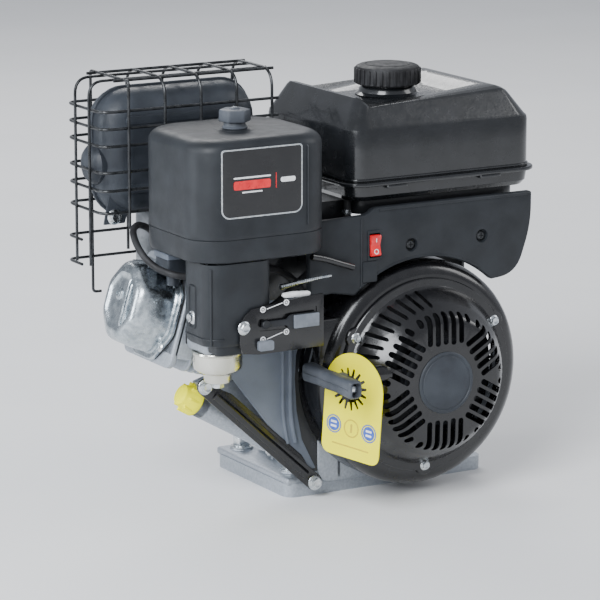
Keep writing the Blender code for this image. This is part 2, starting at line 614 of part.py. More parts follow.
def carburetor():
    low, high = (PORT_X - 0.020, -0.0583, PORT_Z - 0.021), (PORT_X + 0.020, -0.0503, PORT_Z + 0.021)
    spacer = box("intake_spacer", low, high, "rubber")
    body = box("carburetor_body", (PORT_X - 0.024, -0.0986, 0.1745), (PORT_X + 0.024, -0.0586, 0.219), "cast")
    soften(body, 0.003, 1)
    unite(body, rod("bowl_neck", (PORT_X, -0.079, 0.1720), (PORT_X, -0.079, 0.176), 0.020))
    throat = shaft("throat", -0.12, -0.04, 0.0135, None, 24, None, PORT_X, PORT_Z)
    cut(body, throat)
    cut(spacer, throat)
    bowl = [(0, 0.1717), (0.0250, 0.1717), (0.0255, 0.1700), (0.0255, 0.1535)]
    bowl += [(0.0235, 0.1510), (0.0150, 0.1480), (0.0140, 0.1400), (0, 0.1400)]
    turned("float_bowl", bowl, "zinc", (PORT_X, -0.079, 0), (0, 0, 1), 20)
    rod("bowl_bolt", (PORT_X, -0.079, 0.1397), (PORT_X, -0.079, 0.1335), 0.0062, "steel", None, 6)
    for name, y in (("choke_plate", -0.088), ("throttle_plate", -0.067)):
        flap = rod(name, (PORT_X, y, PORT_Z - 0.0006), (PORT_X, y, PORT_Z + 0.0006), 0.0100, "steel", None, 20)
        left, right = (PORT_X - 0.0125, y, PORT_Z), (PORT_X + 0.0125, y, PORT_Z)
        unite(flap, rod(name + "_shaft", left, right, 0.0018, None, None, 10))


def carburetor_cover():
    low, high = Vector((-0.258, -0.1290, 0.183)), Vector((-0.186, -0.0690, 0.2660))
    half_x, half_y = (high.x - low.x) / 2, (high.y - low.y) / 2
    middle = (low + high) / 2
    outside = rounded_rectangle(half_x, half_y, 0.016)
    part = slab("carburetor_cover", outside, high.z - low.z, lying(*middle), "charcoal")
    inside = rounded_rectangle(half_x - 0.0025, half_y - 0.0025, 0.0135)
    cut(part, slab("cover_room", inside, high.z - low.z + 0.02, lying(*middle)))
    cut(part, box("cover_back_gap", (low.x + 0.012, high.y - 0.02, 0.17), (high.x + 0.01, high.y + 0.01, 0.27)))


def controls():
    """The control plate in front of the carburettor cover, and the levers behind and beside it."""
    plate = box("control_plate", (-0.217, -0.1322, 0.176), (-0.134, -0.1294, 0.222), "charcoal")
    soften(plate, 0.001, 1)
    choke = box("choke_lever", (-0.2040, -0.1362, 0.2020), (-0.172, -0.1326, 0.2080), "grey")
    pivot_at(choke, CHOKE_PIVOT)
    unite(choke, box("choke_tab", (-0.175, -0.1385, 0.1975), (-0.1420, -0.1330, 0.2120)))
    fuel = box("fuel_valve_lever", (-0.2085, -0.1385, 0.1800), (-0.1925, -0.1326, 0.1895), "grey")
    pivot_at(fuel, FUEL_VALVE_PIVOT)
    soften(fuel, 0.001, 1)
    throttle = box("throttle_lever", (-0.1770, -0.1285, 0.2250), (-0.1460, -0.1235, 0.2320), "grey")
    pivot_at(throttle, THROTTLE_PIVOT)
    unite(throttle, box("throttle_arm", (-0.1500, -0.1275, 0.1900), (-0.1440, -0.1245, 0.2300)))


def air_cleaner():
    """Base with its elbow to the carburettor, element, domed cover and the cover's knob."""
    plan = rounded_rectangle(CLEANER_HALF_X, CLEANER_HALF_Y, 0.034, 5)
    base_middle = (CLEANER_FLOOR + CLEANER_SEAM) / 2
    place = lying(CLEANER_X, CLEANER_Y, base_middle)
    base = slab("air_cleaner_base", plan, CLEANER_SEAM - CLEANER_FLOOR, place, "charcoal")
    elbow_low, elbow_high = (PORT_X - 0.024, -0.1255, 0.1765), (PORT_X + 0.024, -0.0990, CLEANER_FLOOR + 0.005)
    unite(base, box("elbow", elbow_low, elbow_high))
    inside = rounded_rectangle(CLEANER_HALF_X - 0.004, CLEANER_HALF_Y - 0.004, 0.030, 5)
    cut(
        base,
        slab("base_tray", inside, 0.02, lying(CLEANER_X, CLEANER_Y, CLEANER_SEAM - 0.014 + 0.010)),
        box("elbow_rise", (PORT_X - 0.014, -0.1225, 0.184), (PORT_X + 0.014, -0.105, CLEANER_SEAM)),
        shaft("elbow_throat", -0.12, -0.09, 0.0135, None, 20, None, PORT_X, PORT_Z),
    )
    centre, up = (CLEANER_X, CLEANER_Y, 0), (0, 0, 1)
    ring("filter_element", 0.052, 0.030, CLEANER_SEAM - 0.0137, 0.352, "paper", centre, up, 28)
    floor = CLEANER_SEAM + GAP
    height = CLEANER_TOP - floor
    cover = slab("air_cleaner_cover", plan, height, lying(CLEANER_X, CLEANER_Y, floor + height / 2), "charcoal")
    soften(cover, 0.016, 3)
    hollow_height = height - 0.004
    hollow_place = lying(CLEANER_X, CLEANER_Y, floor + hollow_height / 2 - 0.010)
    cut(cover, slab("cover_hollow", inside, hollow_height + 0.02, hollow_place))
    knob = [(0, 0.4060), (0.0105, 0.4060), (0.0125, 0.4045), (0.0125, 0.3965), (0.0165, 0.3945)]
    knob += [(0.0165, 0.3853), (0, 0.3853)]
    turned("cover_knob", knob, "slate", (CLEANER_X, CLEANER_Y, 0), (0, 0, 1), 16)


def fuel_tank():
    part = box("fuel_tank", TANK_LOW, TANK_HIGH, "black_satin")
    soften(part, 0.014, 2)
    reach = Vector((0.006, 0.006, 0))
    flange_low = Vector((TANK_LOW.x, TANK_LOW.y, TANK_SEAM - 0.002)) - reach
    flange_high = Vector((TANK_HIGH.x, TANK_HIGH.y, TANK_SEAM + 0.002)) + reach
    filler = Vector((FILLER_X, FILLER_Y, TANK_HIGH.z))
    neck = rod("filler_neck", filler - UP * 0.01, filler + UP * 0.008, 0.0265, None, None, 28)
    unite(part, box("seam_flange", flange_low, flange_high), neck)
    wall = Vector((TANK_WALL,) * 3)
    room = box("tank_room", TANK_LOW + wall, TANK_HIGH - wall)
    soften(room, 0.011, 2)
    cut(part, room)
    cut(part, rod("tank_filler_bore", filler - UP * 0.04, filler + UP * 0.04, 0.0235, None, None, 28))
    cap_base = TANK_HIGH.z + GAP
    cap = [(0, cap_base + 0.0200), (0.0310, cap_base + 0.0200), (0.0340, cap_base + 0.0170), (0.0340, cap_base)]
    cap += [(0.0270, cap_base), (0.0270, cap_base + 0.0085), (0, cap_base + 0.0085)]
    turned("fuel_cap", cap, "black_satin", (FILLER_X, FILLER_Y, 0), (0, 0, 1), 20)
    bracket_low, bracket_high = CASE_TOP + GAP, TANK_LOW.z - GAP
    low, high = (-0.060, -0.038, bracket_high - 0.003), (0.088, 0.060, bracket_high)
    bracket = box("tank_bracket", low, high, "black_satin")
    for x in (-0.060, 0.085):
        unite(bracket, box("bracket_leg", (x, -0.030, bracket_low), (x + 0.003, 0.050, bracket_high - 0.001)))


def front_panel():
    arc_radius = HOUSING_RADIUS + 0.0035
    outline = [(-0.119, 0.299), (-0.119, 0.2655), (-0.131, 0.2655), (-0.131, 0.216)]
    for step in range(13):
        angle = math.radians(132 - 82 * step / 12)
        outline.append((arc_radius * math.cos(angle), CRANK_HEIGHT + arc_radius * math.sin(angle)))
    outline += [(0.124, 0.222), (0.137, 0.299)]
    panel = slab("front_panel", outline, 0.010, facing_front(0, -0.0955, 0), "charcoal")
    cut(panel, box("switch_pocket", (-0.0645, -0.11, 0.2500), (-0.0515, -0.0925, 0.2740)))
    switch = box("engine_switch", (-0.0635, -0.1050, 0.2515), (-0.0525, -0.0960, 0.2725), "red")
    pivot_at(switch, SWITCH_PIVOT)
    soften(switch, 0.001, 1)


def muffler():
    part = box("muffler", MUFFLER_LOW, MUFFLER_HIGH, "black_satin")
    soften(part, 0.026, 3)
    wall = Vector((0.003, 0.003, 0.003))
    room = box("muffler_room", MUFFLER_LOW + wall, MUFFLER_HIGH - wall)
    soften(room, 0.023, 2)
    middle_y = (MUFFLER_LOW.y + MUFFLER_HIGH.y) / 2
    cut(part, room, rod("inlet", (PORT_X, PIPE_Y, 0.27), (PORT_X, PIPE_Y, 0.31), 0.0105, None, None, 20))
    cut(part, rod("outlet", (-0.140, middle_y, 0.35), (-0.140, 0.12, 0.35), 0.0080, None, None, 16))
    pipe_foot, pipe_head = (PORT_X, PIPE_Y, 0.184), (PORT_X, PIPE_Y, MUFFLER_LOW.z - GAP)
    pipe = rod("exhaust_pipe", pipe_foot, pipe_head, 0.0125, "steel", None, 20)
    unite(
        pipe,
        shaft("exhaust_elbow", 0.0540, PIPE_Y, 0.0120, None, 20, None, PORT_X, PORT_Z),
        box("exhaust_flange", (PORT_X - 0.025, 0.0503, 0.178), (PORT_X + 0.025, 0.0563, 0.212)),
    )


def guard_hoop(height, reach_right=GUARD_RIGHT, radius=0.014):
    """A level wire round the front, left and back of the muffler."""
    route = [(reach_right, GUARD_FRONT, height)]
    for centre_y, first in ((GUARD_FRONT + radius, 270), (GUARD_BACK - radius, 180)):
        for step in range(3):
            angle = math.radians(first - 45 * step)
            x = GUARD_LEFT + radius + radius * math.cos(angle)
            route.append((x, centre_y + radius * math.sin(angle), height))
    route.append((reach_right, GUARD_BACK, height))
    return wire("guard_hoop", route, GUARD_WIRE, None, 0)


def guard_arch(x, front_foot, back_foot, radius=0.018):
    """A wire up the front, over the top and down the back."""
    route = [(x, GUARD_FRONT, front_foot)]
    for centre_y, first in ((GUARD_FRONT + radius, 180), (GUARD_BACK - radius, 90)):
        for step in range(3):
            angle = math.radians(first - 45 * step)
            height = GUARD_TOP - radius + radius * math.sin(angle)
            route.append((x, centre_y + radius * math.cos(angle), height))
    route.append((x, GUARD_BACK, back_foot))
    return wire("guard_arch", route, GUARD_WIRE, None, 0)


def muffler_guard():
    part = wire(
        "muffler_guard",
        [(GUARD_RIGHT, GUARD_BACK, 0.245), (GUARD_LEFT + 0.004, GUARD_BACK, 0.245)],
        GUARD_WIRE,
        "black_satin",
        0,
    )
    for height in HOOP_HEIGHTS:
        unite(part, guard_hoop(height))
    for index in range(ARCH_COUNT):
        unite(part, guard_arch(ARCH_FIRST + ARCH_STEP * index, 0.280, 0.240))
    for y in (0.045, 0.075):
        route = [(GUARD_LEFT, y, 0.240), (GUARD_LEFT, y, 0.400), (GUARD_LEFT + 0.006, y, 0.416)]
        route += [(GUARD_LEFT + 0.022, y, GUARD_TOP - 0.0006), (GUARD_RIGHT, y, GUARD_TOP - 0.0006)]
        unite(part, wire("guard_long_wire", route, GUARD_WIRE, None, 0))
    for x in (-0.230, -0.150):
        low, high = (x - 0.006, MUFFLER_HIGH.y + GAP, 0.346), (x + 0.006, GUARD_BACK + 0.001, 0.354)
        unite(part, box("guard_stay", low, high))


def small_fittings():
    start = FILLER_MOUTH + DIPSTICK_WAY * GAP
    stick = rod("dipstick", start, start + DIPSTICK_WAY * 0.020, 0.0155, "yellow", None, 16, 0.0125)
    stem_head, stem_tip = start + DIPSTICK_WAY * 0.005, start - DIPSTICK_WAY * 0.150
    unite(stick, rod("dipstick_stem", stem_head, stem_tip, 0.0030, None, None, 10))
    spot, inward = Vector(DRAIN_SPOT), Vector((1, 0, 0))
    plug = rod("drain_plug", spot - inward * 0.0103, spot - inward * GAP, 0.0095, "steel", None, 6)
    unite(plug, rod("drain_thread", spot - inward * 0.005, spot + inward * 0.012, 0.0058, None, None, 16))
    half_strap = Vector((0, 0.0016, 0))
    front, back = BRACE_TOP - half_strap, BRACE_TOP + half_strap
    brace = rod("support_brace", back, front, 0.0085, "black_satin", None, 16)
    slope = math.atan2(BRACE_FOOT.z - BRACE_TOP.z, BRACE_FOOT.x - BRACE_TOP.x)
    middle = (BRACE_TOP + BRACE_FOOT) / 2
    reach = Vector(((BRACE_FOOT - BRACE_TOP).length / 2, 0.0014, 0.0065))
    strap = box("brace_strap", middle - reach, middle + reach, None, None, (0, -slope, 0))
    foot_front = (BRACE_FOOT.x, -0.0577, BRACE_FOOT.z)
    foot_back = (BRACE_FOOT.x, BASE_FRONT - GAP, BRACE_FOOT.z)
    unite(brace, strap, rod("brace_foot", foot_front, foot_back, 0.0085, None, None, 16))


def hoses():
    lead = [
        (-0.2393, 0.0189, 0.2721),
        (-0.2480, 0.0195, 0.2785),
        (-0.2600, 0.0135, 0.2825),
        (-0.2720, 0.0000, 0.2800),
        (-0.2765, -0.0160, 0.2700),
        (-0.2740, -0.0320, 0.2575),
        (-0.2640, -0.0450, 0.2480),
        (-0.2460, -0.0580, 0.2430),
        (-0.2150, -0.0625, 0.2450),
        (-0.1750, -0.0630, 0.2480),
        (-0.1350, -0.0640, 0.2330),
        (-0.1120, -0.0660, 0.2080),
        (-0.0960, -0.0670, 0.1930),
    ]
    wire("spark_plug_lead", smooth_route(lead, 30), 0.0034, "rubber")
    line = [
        (-0.0660, -0.0620, 0.3017),
        (-0.0690, -0.0640, 0.2800),
        (-0.0860, -0.0720, 0.2560),
        (-0.1240, -0.0790, 0.2340),
        (-0.1600, -0.0790, 0.2080),
        (-0.1800, -0.0790, 0.2050),
        (-0.1970, -0.0790, 0.2050),
    ]
    wire("fuel_line", smooth_route(line, 16), 0.0040, "rubber")


def build():
    cylinder = bpy.data.objects.new("cylinder_axis", None)
    engine.objects.link(cylinder)
    cylinder.location = (0, 0, CRANK_HEIGHT)
    cylinder.rotation_euler = (0, CYLINDER_RISE - math.radians(90), 0)
    pin_x = -CRANK_THROW * math.cos(CYLINDER_RISE)
    pin_z = CRANK_HEIGHT + CRANK_THROW * math.sin(CYLINDER_RISE)
    crankcase(cylinder)
    crankcase_cover()
    crankshaft(pin_x, pin_z)
    camshaft()
    running_gear(cylinder)
    cylinder_head(cylinder)
    valve_cover(cylinder)
    bearings()
    flywheel_group()
    blower_housing()
    recoil_starter()
    starter_grip()
    cylinder_shroud()
    carburetor()
    carburetor_cover()
    controls()
    air_cleaner()
    fuel_tank()
    front_panel()
    muffler()
    muffler_guard()
    small_fittings()
    hoses()


build()
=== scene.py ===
"""The looks of a small single-cylinder gasoline engine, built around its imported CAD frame.

Every length is in metres, in the CAD's own frame: X to the right, Y to the back, Z up. Each function
makes one sub-part. It takes its place from the CAD node it stands for, and rides on that node's body.
"""

import json
from math import atan2, cos, pi, radians, sin, sqrt, tan

import bmesh
import bpy
from mathutils import Matrix, Vector

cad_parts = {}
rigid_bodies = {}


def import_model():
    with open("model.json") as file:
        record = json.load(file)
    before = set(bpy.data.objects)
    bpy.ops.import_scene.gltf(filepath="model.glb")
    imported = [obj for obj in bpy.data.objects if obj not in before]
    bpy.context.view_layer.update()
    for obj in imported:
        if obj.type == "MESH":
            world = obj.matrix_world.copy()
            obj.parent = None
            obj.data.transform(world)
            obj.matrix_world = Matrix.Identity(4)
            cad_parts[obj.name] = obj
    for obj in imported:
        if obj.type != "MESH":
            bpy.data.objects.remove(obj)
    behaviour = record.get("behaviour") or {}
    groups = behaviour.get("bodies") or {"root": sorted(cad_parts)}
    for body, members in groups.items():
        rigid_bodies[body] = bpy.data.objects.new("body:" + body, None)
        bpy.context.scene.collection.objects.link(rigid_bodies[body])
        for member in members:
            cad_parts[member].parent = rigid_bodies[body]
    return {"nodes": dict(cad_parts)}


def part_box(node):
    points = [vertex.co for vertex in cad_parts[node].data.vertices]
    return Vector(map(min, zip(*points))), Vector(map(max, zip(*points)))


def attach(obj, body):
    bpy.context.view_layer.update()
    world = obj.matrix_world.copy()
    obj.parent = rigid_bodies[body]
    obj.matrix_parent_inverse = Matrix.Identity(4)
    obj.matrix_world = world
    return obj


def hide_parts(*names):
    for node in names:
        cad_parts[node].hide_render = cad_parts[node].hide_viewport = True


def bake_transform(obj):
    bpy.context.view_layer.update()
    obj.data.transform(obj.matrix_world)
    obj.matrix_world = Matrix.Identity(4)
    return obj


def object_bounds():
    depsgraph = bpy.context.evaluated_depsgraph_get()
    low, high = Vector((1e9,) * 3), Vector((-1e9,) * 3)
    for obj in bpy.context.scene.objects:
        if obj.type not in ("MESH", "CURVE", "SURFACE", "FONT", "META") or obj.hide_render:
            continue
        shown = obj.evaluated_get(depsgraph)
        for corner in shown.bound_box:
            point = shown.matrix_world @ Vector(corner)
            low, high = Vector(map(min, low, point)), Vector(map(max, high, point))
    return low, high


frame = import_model()
cad_low, cad_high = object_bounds()
scene = bpy.context.scene

TURN = 2 * pi
CYLINDER_RISE = radians(17)
FRONT, BACK, UP = Vector((0, -1, 0)), Vector((0, 1, 0)), Vector((0, 0, 1))
LEFT, RIGHT = Vector((-1, 0, 0)), Vector((1, 0, 0))

housing_low, housing_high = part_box("blower_housing")
CRANK = Vector(((housing_low.x + housing_high.x) / 2, 0, (housing_low.z + housing_high.z) / 2))
CYLINDER = Matrix.Translation(CRANK) @ Matrix.Rotation(CYLINDER_RISE - pi / 2, 4, "Y")


# The base plate's stud holes, the oil filler's mouth and the plane where crankcase and cover meet
STUDS = [(x, y) for x in (-0.105, 0.09) for y in (-0.018, 0.085)]
FILLER = Vector((-0.2126, -0.015, 0.1048))
CASE_JOINT = 0.062

# Materials


class Finish:
    """A Principled material whose colour, roughness and relief come from noise in object space."""

    def __init__(self, name, roughness, metallic=0.0, coat=0.0):
        self.material = bpy.data.materials.new(name)
        self.material.use_nodes = True
        self.tree = self.material.node_tree
        self.shader = self.tree.nodes["Principled BSDF"]
        self.shader.inputs["Metallic"].default_value = metallic
        self.shader.inputs["Coat Weight"].default_value = coat
        self.shader.inputs["Coat Roughness"].default_value = 0.08
        self.shader.inputs["Roughness"].default_value = roughness
        self.shader.inputs["Specular IOR Level"].default_value = 0.5 if metallic or coat else 0.32
        self.place = self.tree.nodes.new("ShaderNodeTexCoord").outputs["Object"]
        self.relief = None

    def node(self, kind, **settings):
        made = self.tree.nodes.new(kind)
        for name, value in settings.items():
            setattr(made, name, value)
        return made

    def join(self, source, target):
        self.tree.links.new(source, target)

    def noise(self, scale, detail=4.0, stretch=(1, 1, 1)):
        """Noise with features about one over scale metres wide."""
        mapping = self.node("ShaderNodeMapping")
        mapping.inputs["Scale"].default_value = stretch
        self.join(self.place, mapping.inputs["Vector"])
        made = self.node("ShaderNodeTexNoise")
        made.inputs["Scale"].default_value = scale
        made.inputs["Detail"].default_value = detail
        self.join(mapping.outputs["Vector"], made.inputs["Vector"])
        return made.outputs["Fac"]

    def colour(self, dark, light, scale, low=0.35, high=0.65, stretch=(1, 1, 1)):
        ramp = self.node("ShaderNodeValToRGB")
        ramp.color_ramp.elements[0].position = low
        ramp.color_ramp.elements[0].color = (*dark, 1)
        ramp.color_ramp.elements[1].position = high
        ramp.color_ramp.elements[1].color = (*light, 1)
        self.join(self.noise(scale, 6, stretch), ramp.inputs["Fac"])
        self.join(ramp.outputs["Color"], self.shader.inputs["Base Color"])
        return self

    def polish(self, smoothest, roughest, scale, stretch=(1, 1, 1)):
        spread = self.node("ShaderNodeMapRange")
        spread.inputs["From Min"].default_value = 0.3
        spread.inputs["From Max"].default_value = 0.7
        spread.inputs["To Min"].default_value = smoothest
        spread.inputs["To Max"].default_value = roughest
        self.join(self.noise(scale, 5, stretch), spread.inputs["Value"])
        self.join(spread.outputs["Result"], self.shader.inputs["Roughness"])
        return self

    def bump(self, scale, depth, detail=3.0, stretch=(1, 1, 1)):
        """Raises the surface by up to depth metres, on top of any relief made before."""
        made = self.node("ShaderNodeBump")
        made.inputs["Strength"].default_value = 1.0
        made.inputs["Distance"].default_value = depth
        self.join(self.noise(scale, detail, stretch), made.inputs["Height"])
        if self.relief:
            self.join(self.relief, made.inputs["Normal"])
        self.relief = made.outputs["Normal"]
        self.join(self.relief, self.shader.inputs["Normal"])
        return self


def make_finishes():
    made = {}

    def finish(name, roughness, metallic=0.0, coat=0.0):
        made[name] = Finish(name, roughness, metallic, coat)
        return made[name]

    cast = finish("cast_aluminium", 0.48, 0.75)
    cast.colour((0.34, 0.37, 0.41), (0.46, 0.49, 0.53), 420, 0.3, 0.7).polish(0.42, 0.58, 300)
    cast.bump(1100, 0.00016)
    dark_cast = finish("shaded_casting", 0.6, 0.6)
    dark_cast.colour((0.16, 0.17, 0.18), (0.32, 0.33, 0.35), 60).polish(0.45, 0.7, 150).bump(800, 0.0003)
    steel = finish("machined_steel", 0.3, 1.0)
    steel.colour((0.48, 0.49, 0.5), (0.66, 0.66, 0.67), 120, stretch=(1, 6, 1))
    steel.polish(0.2, 0.38, 260, (1, 8, 1)).bump(1500, 0.00004, stretch=(1, 8, 1))
    bolt_steel = finish("bright_zinc", 0.25, 1.0)
    bolt_steel.colour((0.5, 0.54, 0.57), (0.76, 0.78, 0.78), 220).polish(0.16, 0.34, 300).bump(1200, 0.00006)
    pressed = finish("pressed_zinc", 0.3, 1.0)
    pressed.colour((0.34, 0.38, 0.41), (0.56, 0.61, 0.64), 150).polish(0.2, 0.32, 160)
    pressed.bump(110, 0.00018, 2).bump(900, 0.00003)
    gold = finish("yellow_chromate", 0.2, 1.0)
    gold.colour((0.6, 0.585, 0.49), (0.78, 0.77, 0.7), 38, stretch=(1, 1, 0.3)).polish(0.16, 0.28, 140)
    gold.bump(500, 0.00006, stretch=(1, 1, 5))
    gloss = finish("black_gloss_paint", 0.24, 0.0, 0.35)
    gloss.colour((0.003, 0.003, 0.004), (0.007, 0.007, 0.008), 60).polish(0.19, 0.3, 90).bump(260, 0.0001)
    gloss.shader.inputs["Coat Roughness"].default_value = 0.16
    satin = finish("black_satin_paint", 0.32, 0.0, 0.15)
    satin.colour((0.007, 0.008, 0.009), (0.013, 0.014, 0.016), 45).polish(0.26, 0.42, 120).bump(420, 0.00012)
    tank = finish("tank_gloss_paint", 0.22, 0.0, 0.4)
    tank.colour((0.006, 0.007, 0.008), (0.012, 0.013, 0.015), 45).polish(0.18, 0.3, 120).bump(300, 0.0001)
    heat = finish("heat_resisting_paint", 0.45)
    heat.colour((0.024, 0.028, 0.035), (0.044, 0.051, 0.062), 30).polish(0.32, 0.55, 90).bump(700, 0.00015)
    # Black coating on the wire guard and panel screws; on the flywheel and starter cup it is painted shade.
    wire = finish("black_coat_and_painted_shade", 0.3, 0.3)
    wire.colour((0.008, 0.009, 0.01), (0.035, 0.037, 0.04), 140).polish(0.22, 0.42, 200).bump(900, 0.00008)
    charcoal = finish("charcoal_plastic", 0.46)
    charcoal.colour((0.013, 0.015, 0.018), (0.021, 0.024, 0.028), 38).polish(0.38, 0.52, 70)
    charcoal.bump(1700, 0.00009).bump(240, 0.0001)
    dark = finish("dark_plastic", 0.42)
    dark.colour((0.011, 0.012, 0.014), (0.022, 0.024, 0.028), 42).polish(0.34, 0.5, 80).bump(1500, 0.00009)
    # Pale bluish grey that is partly painted light: the air shroud's own tone lightened by painted sheen, and
    # a painted highlight on the breather box's lid.
    slate_with_sheen = finish("slate_plastic", 0.45)
    slate_with_sheen.colour((0.125, 0.145, 0.18), (0.165, 0.188, 0.228), 30).polish(0.38, 0.54, 60).bump(1400, 0.0001)
    grip = finish("grip_plastic", 0.48)
    grip.colour((0.055, 0.062, 0.074), (0.085, 0.094, 0.11), 55).polish(0.38, 0.58, 90).bump(1300, 0.00014)
    grey = finish("grey_plastic", 0.45)
    grey.colour((0.14, 0.155, 0.18), (0.2, 0.22, 0.25), 90).polish(0.36, 0.54, 120).bump(1500, 0.00008)
    rubber = finish("black_rubber", 0.6)
    rubber.colour((0.01, 0.01, 0.011), (0.026, 0.026, 0.028), 90).polish(0.45, 0.72, 140).bump(1100, 0.00012)
    red = finish("red_plastic", 0.3, 0.0, 0.2)
    red.colour((0.62, 0.006, 0.012), (0.8, 0.022, 0.026), 160).polish(0.24, 0.38, 200).bump(1600, 0.00005)
    yellow = finish("yellow_plastic", 0.42)
    yellow.colour((0.93, 0.88, 0.0), (0.97, 0.92, 0.004), 70).polish(0.34, 0.52, 110).bump(1500, 0.00008)
    tag = finish("tag_yellow", 0.4)
    tag.colour((0.95, 0.86, 0.0), (0.98, 0.91, 0.004), 45).polish(0.32, 0.48, 80).bump(40, 0.0004, 2)
    for name in ("yellow_plastic", "tag_yellow"):
        made[name].shader.inputs["Specular IOR Level"].default_value = 0.15
    white = finish("white_print", 0.5)
    white.colour((0.72, 0.73, 0.74), (0.88, 0.88, 0.88), 300).polish(0.4, 0.6, 300)
    blue = finish("blue_print", 0.5)
    blue.colour((0.035, 0.09, 0.42), (0.06, 0.13, 0.52), 300).polish(0.4, 0.6, 300)
    ink = finish("ochre_print", 0.5)
    ink.colour((0.52, 0.4, 0.02), (0.62, 0.48, 0.04), 300).polish(0.4, 0.6, 300)
    paper = finish("filter_paper", 0.9)
    paper.colour((0.5, 0.41, 0.24), (0.66, 0.56, 0.36), 120).bump(700, 0.0003)
    gasket = finish("gasket_fibre", 0.8)
    gasket.colour((0.014, 0.014, 0.014), (0.035, 0.034, 0.033), 220).bump(900, 0.0001)
    return {name: value.material for name, value in made.items()}


finishes = make_finishes()


# Shapes


def solid(built):
    """A working object that piece() later bakes into a finished piece."""
    bmesh.ops.recalc_face_normals(built, faces=built.faces)
    mesh = bpy.data.meshes.new("shape")
    built.to_mesh(mesh)
    built.free()
    made = bpy.data.objects.new("shape", mesh)
    scene.collection.objects.link(made)
    return made


def soften(shape, width, segments=3, angle=30):
    bevel = shape.modifiers.new("edges", "BEVEL")
    bevel.width = width
    bevel.segments = segments
    bevel.limit_method = "ANGLE"
    bevel.angle_limit = radians(angle)
    return shape


def combine(shape, operation, others):
    group = bpy.data.collections.new("tools")
    for other in others:
        group.objects.link(other)
        other["tool"] = True
    change = shape.modifiers.new(operation, "BOOLEAN")
    change.operation = operation
    change.solver = "EXACT"
    change.operand_type = "COLLECTION"
    change.collection = group
    return shape


def cut(shape, *others):
    return combine(shape, "DIFFERENCE", others)


def painted(shape, finish):
    shape["finish"] = finish
    return shape


def block(low, high, ease=0.0, segments=3, turn=None):
    """A box between two corners. turn is a matrix that turns it about its middle."""
    low, high = Vector(low), Vector(high)
    built = bmesh.new()
    bmesh.ops.create_cube(built, size=1.0, matrix=Matrix.Diagonal((*(high - low), 1)))
    made = solid(built)
    made.matrix_world = Matrix.Translation((low + high) / 2) @ (turn or Matrix.Identity(4))
    return soften(made, ease, segments) if ease else made


def drum(start, end, radius, sides=48, end_radius=None, ease=0.0, spin=0.0):
    start, end = Vector(start), Vector(end)
    way = end - start
    built = bmesh.new()
    bmesh.ops.create_cone(built, cap_ends=True, segments=sides, radius1=radius, radius2=radius
                          if end_radius is None else end_radius, depth=way.length)
    made = solid(built)
    made.matrix_world = Matrix.Translation((start + end) / 2) @ aimed(way) @ turned(spin)
    return soften(made, ease, 2) if ease else made


def aimed(way):
    """A turn that brings local Z along way."""
    return Vector(way).to_track_quat("Z", "Y").to_matrix().to_4x4()


def lathe(profile, centre=(0, 0, 0), way=UP, steps=96):
    """Turns (radius, height) points about way. The profile is closed unless both its ends are on the axis."""
    built = bmesh.new()
    rings = []
    for radius, height in profile:
        count = 1 if radius <= 0 else steps
        rings.append([ built.verts.new((radius * cos(TURN * k / steps), radius * sin(TURN * k / steps),
                                        height)) for k in range(count) ])
    if profile[0][0] > 0:
        rings.append(rings[0])
    for one, two in zip(rings, rings[1:]):
        for k in range(steps):
            after = (k + 1) % steps
            corners = [one[k % len(one)], one[after % len(one)], two[after % len(two)], two[k % len(two)]]
            corners = list(dict.fromkeys(corners))
            if len(corners) > 2:
                built.faces.new(corners)
    made = solid(built)
    made.matrix_world = Matrix.Translation(centre) @ aimed(way)
    return made


def hoop(inner, outer, foot, top, centre=(0, 0, 0), way=UP, steps=96):
    """A ring of rectangular section, from foot to top along way."""
    return lathe([(outer, foot), (outer, top), (inner, top), (inner, foot)], centre, way, steps)


def plate(outline, thickness, place, ease=0.0, segments=2):
    """A flat outline in place's XY plane, thickened to both sides of it."""
    built = bmesh.new()
    built.faces.new([built.verts.new((x, y, -thickness / 2)) for x, y in outline])
    grown = bmesh.ops.extrude_face_region(built, geom=list(built.faces))
    moved = [part for part in grown["geom"] if isinstance(part, bmesh.types.BMVert)]
    bmesh.ops.translate(built, verts=moved, vec=(0, 0, thickness))
    made = solid(built)
    made.matrix_world = place
    return soften(made, ease, segments) if ease else made


def loft(loops, place=None):
    """A skin over closed loops of the same number of points, capped at both ends."""
    built = bmesh.new()
    rings = [[built.verts.new(point) for point in loop] for loop in loops]
    for one, two in zip(rings, rings[1:]):
        for k in range(len(one)):
            after = (k + 1) % len(one)
            built.faces.new((one[k], one[after], two[after], two[k]))
    built.faces.new(rings[0])
    built.faces.new(rings[-1])
    made = solid(built)
    made.matrix_world = place or Matrix.Identity(4)
    return made


def tube(route, radius, sides=12, closed=False):
    """A round bar along a route, with flat ends."""
    curve = bpy.data.curves.new("route", "CURVE")
    curve.dimensions = "3D"
    curve.bevel_depth = radius
    curve.bevel_resolution = max(sides // 2 - 2, 0)
    curve.use_fill_caps = not closed
    spline = curve.splines.new("POLY")
    spline.points.add(len(route) - 1)
    for point, place in zip(spline.points, route):
        point.co = (*place, 1)
    spline.use_cyclic_u = closed
    guide = bpy.data.objects.new("route", curve)
    scene.collection.objects.link(guide)
    bpy.context.view_layer.update()
    mesh = bpy.data.meshes.new_from_object(guide.evaluated_get(bpy.context.evaluated_depsgraph_get()))
    bpy.data.objects.remove(guide)
    built = bmesh.new()
    built.from_mesh(mesh)
    bmesh.ops.remove_doubles(built, verts=built.verts, dist=0.000005)
    return solid(built)


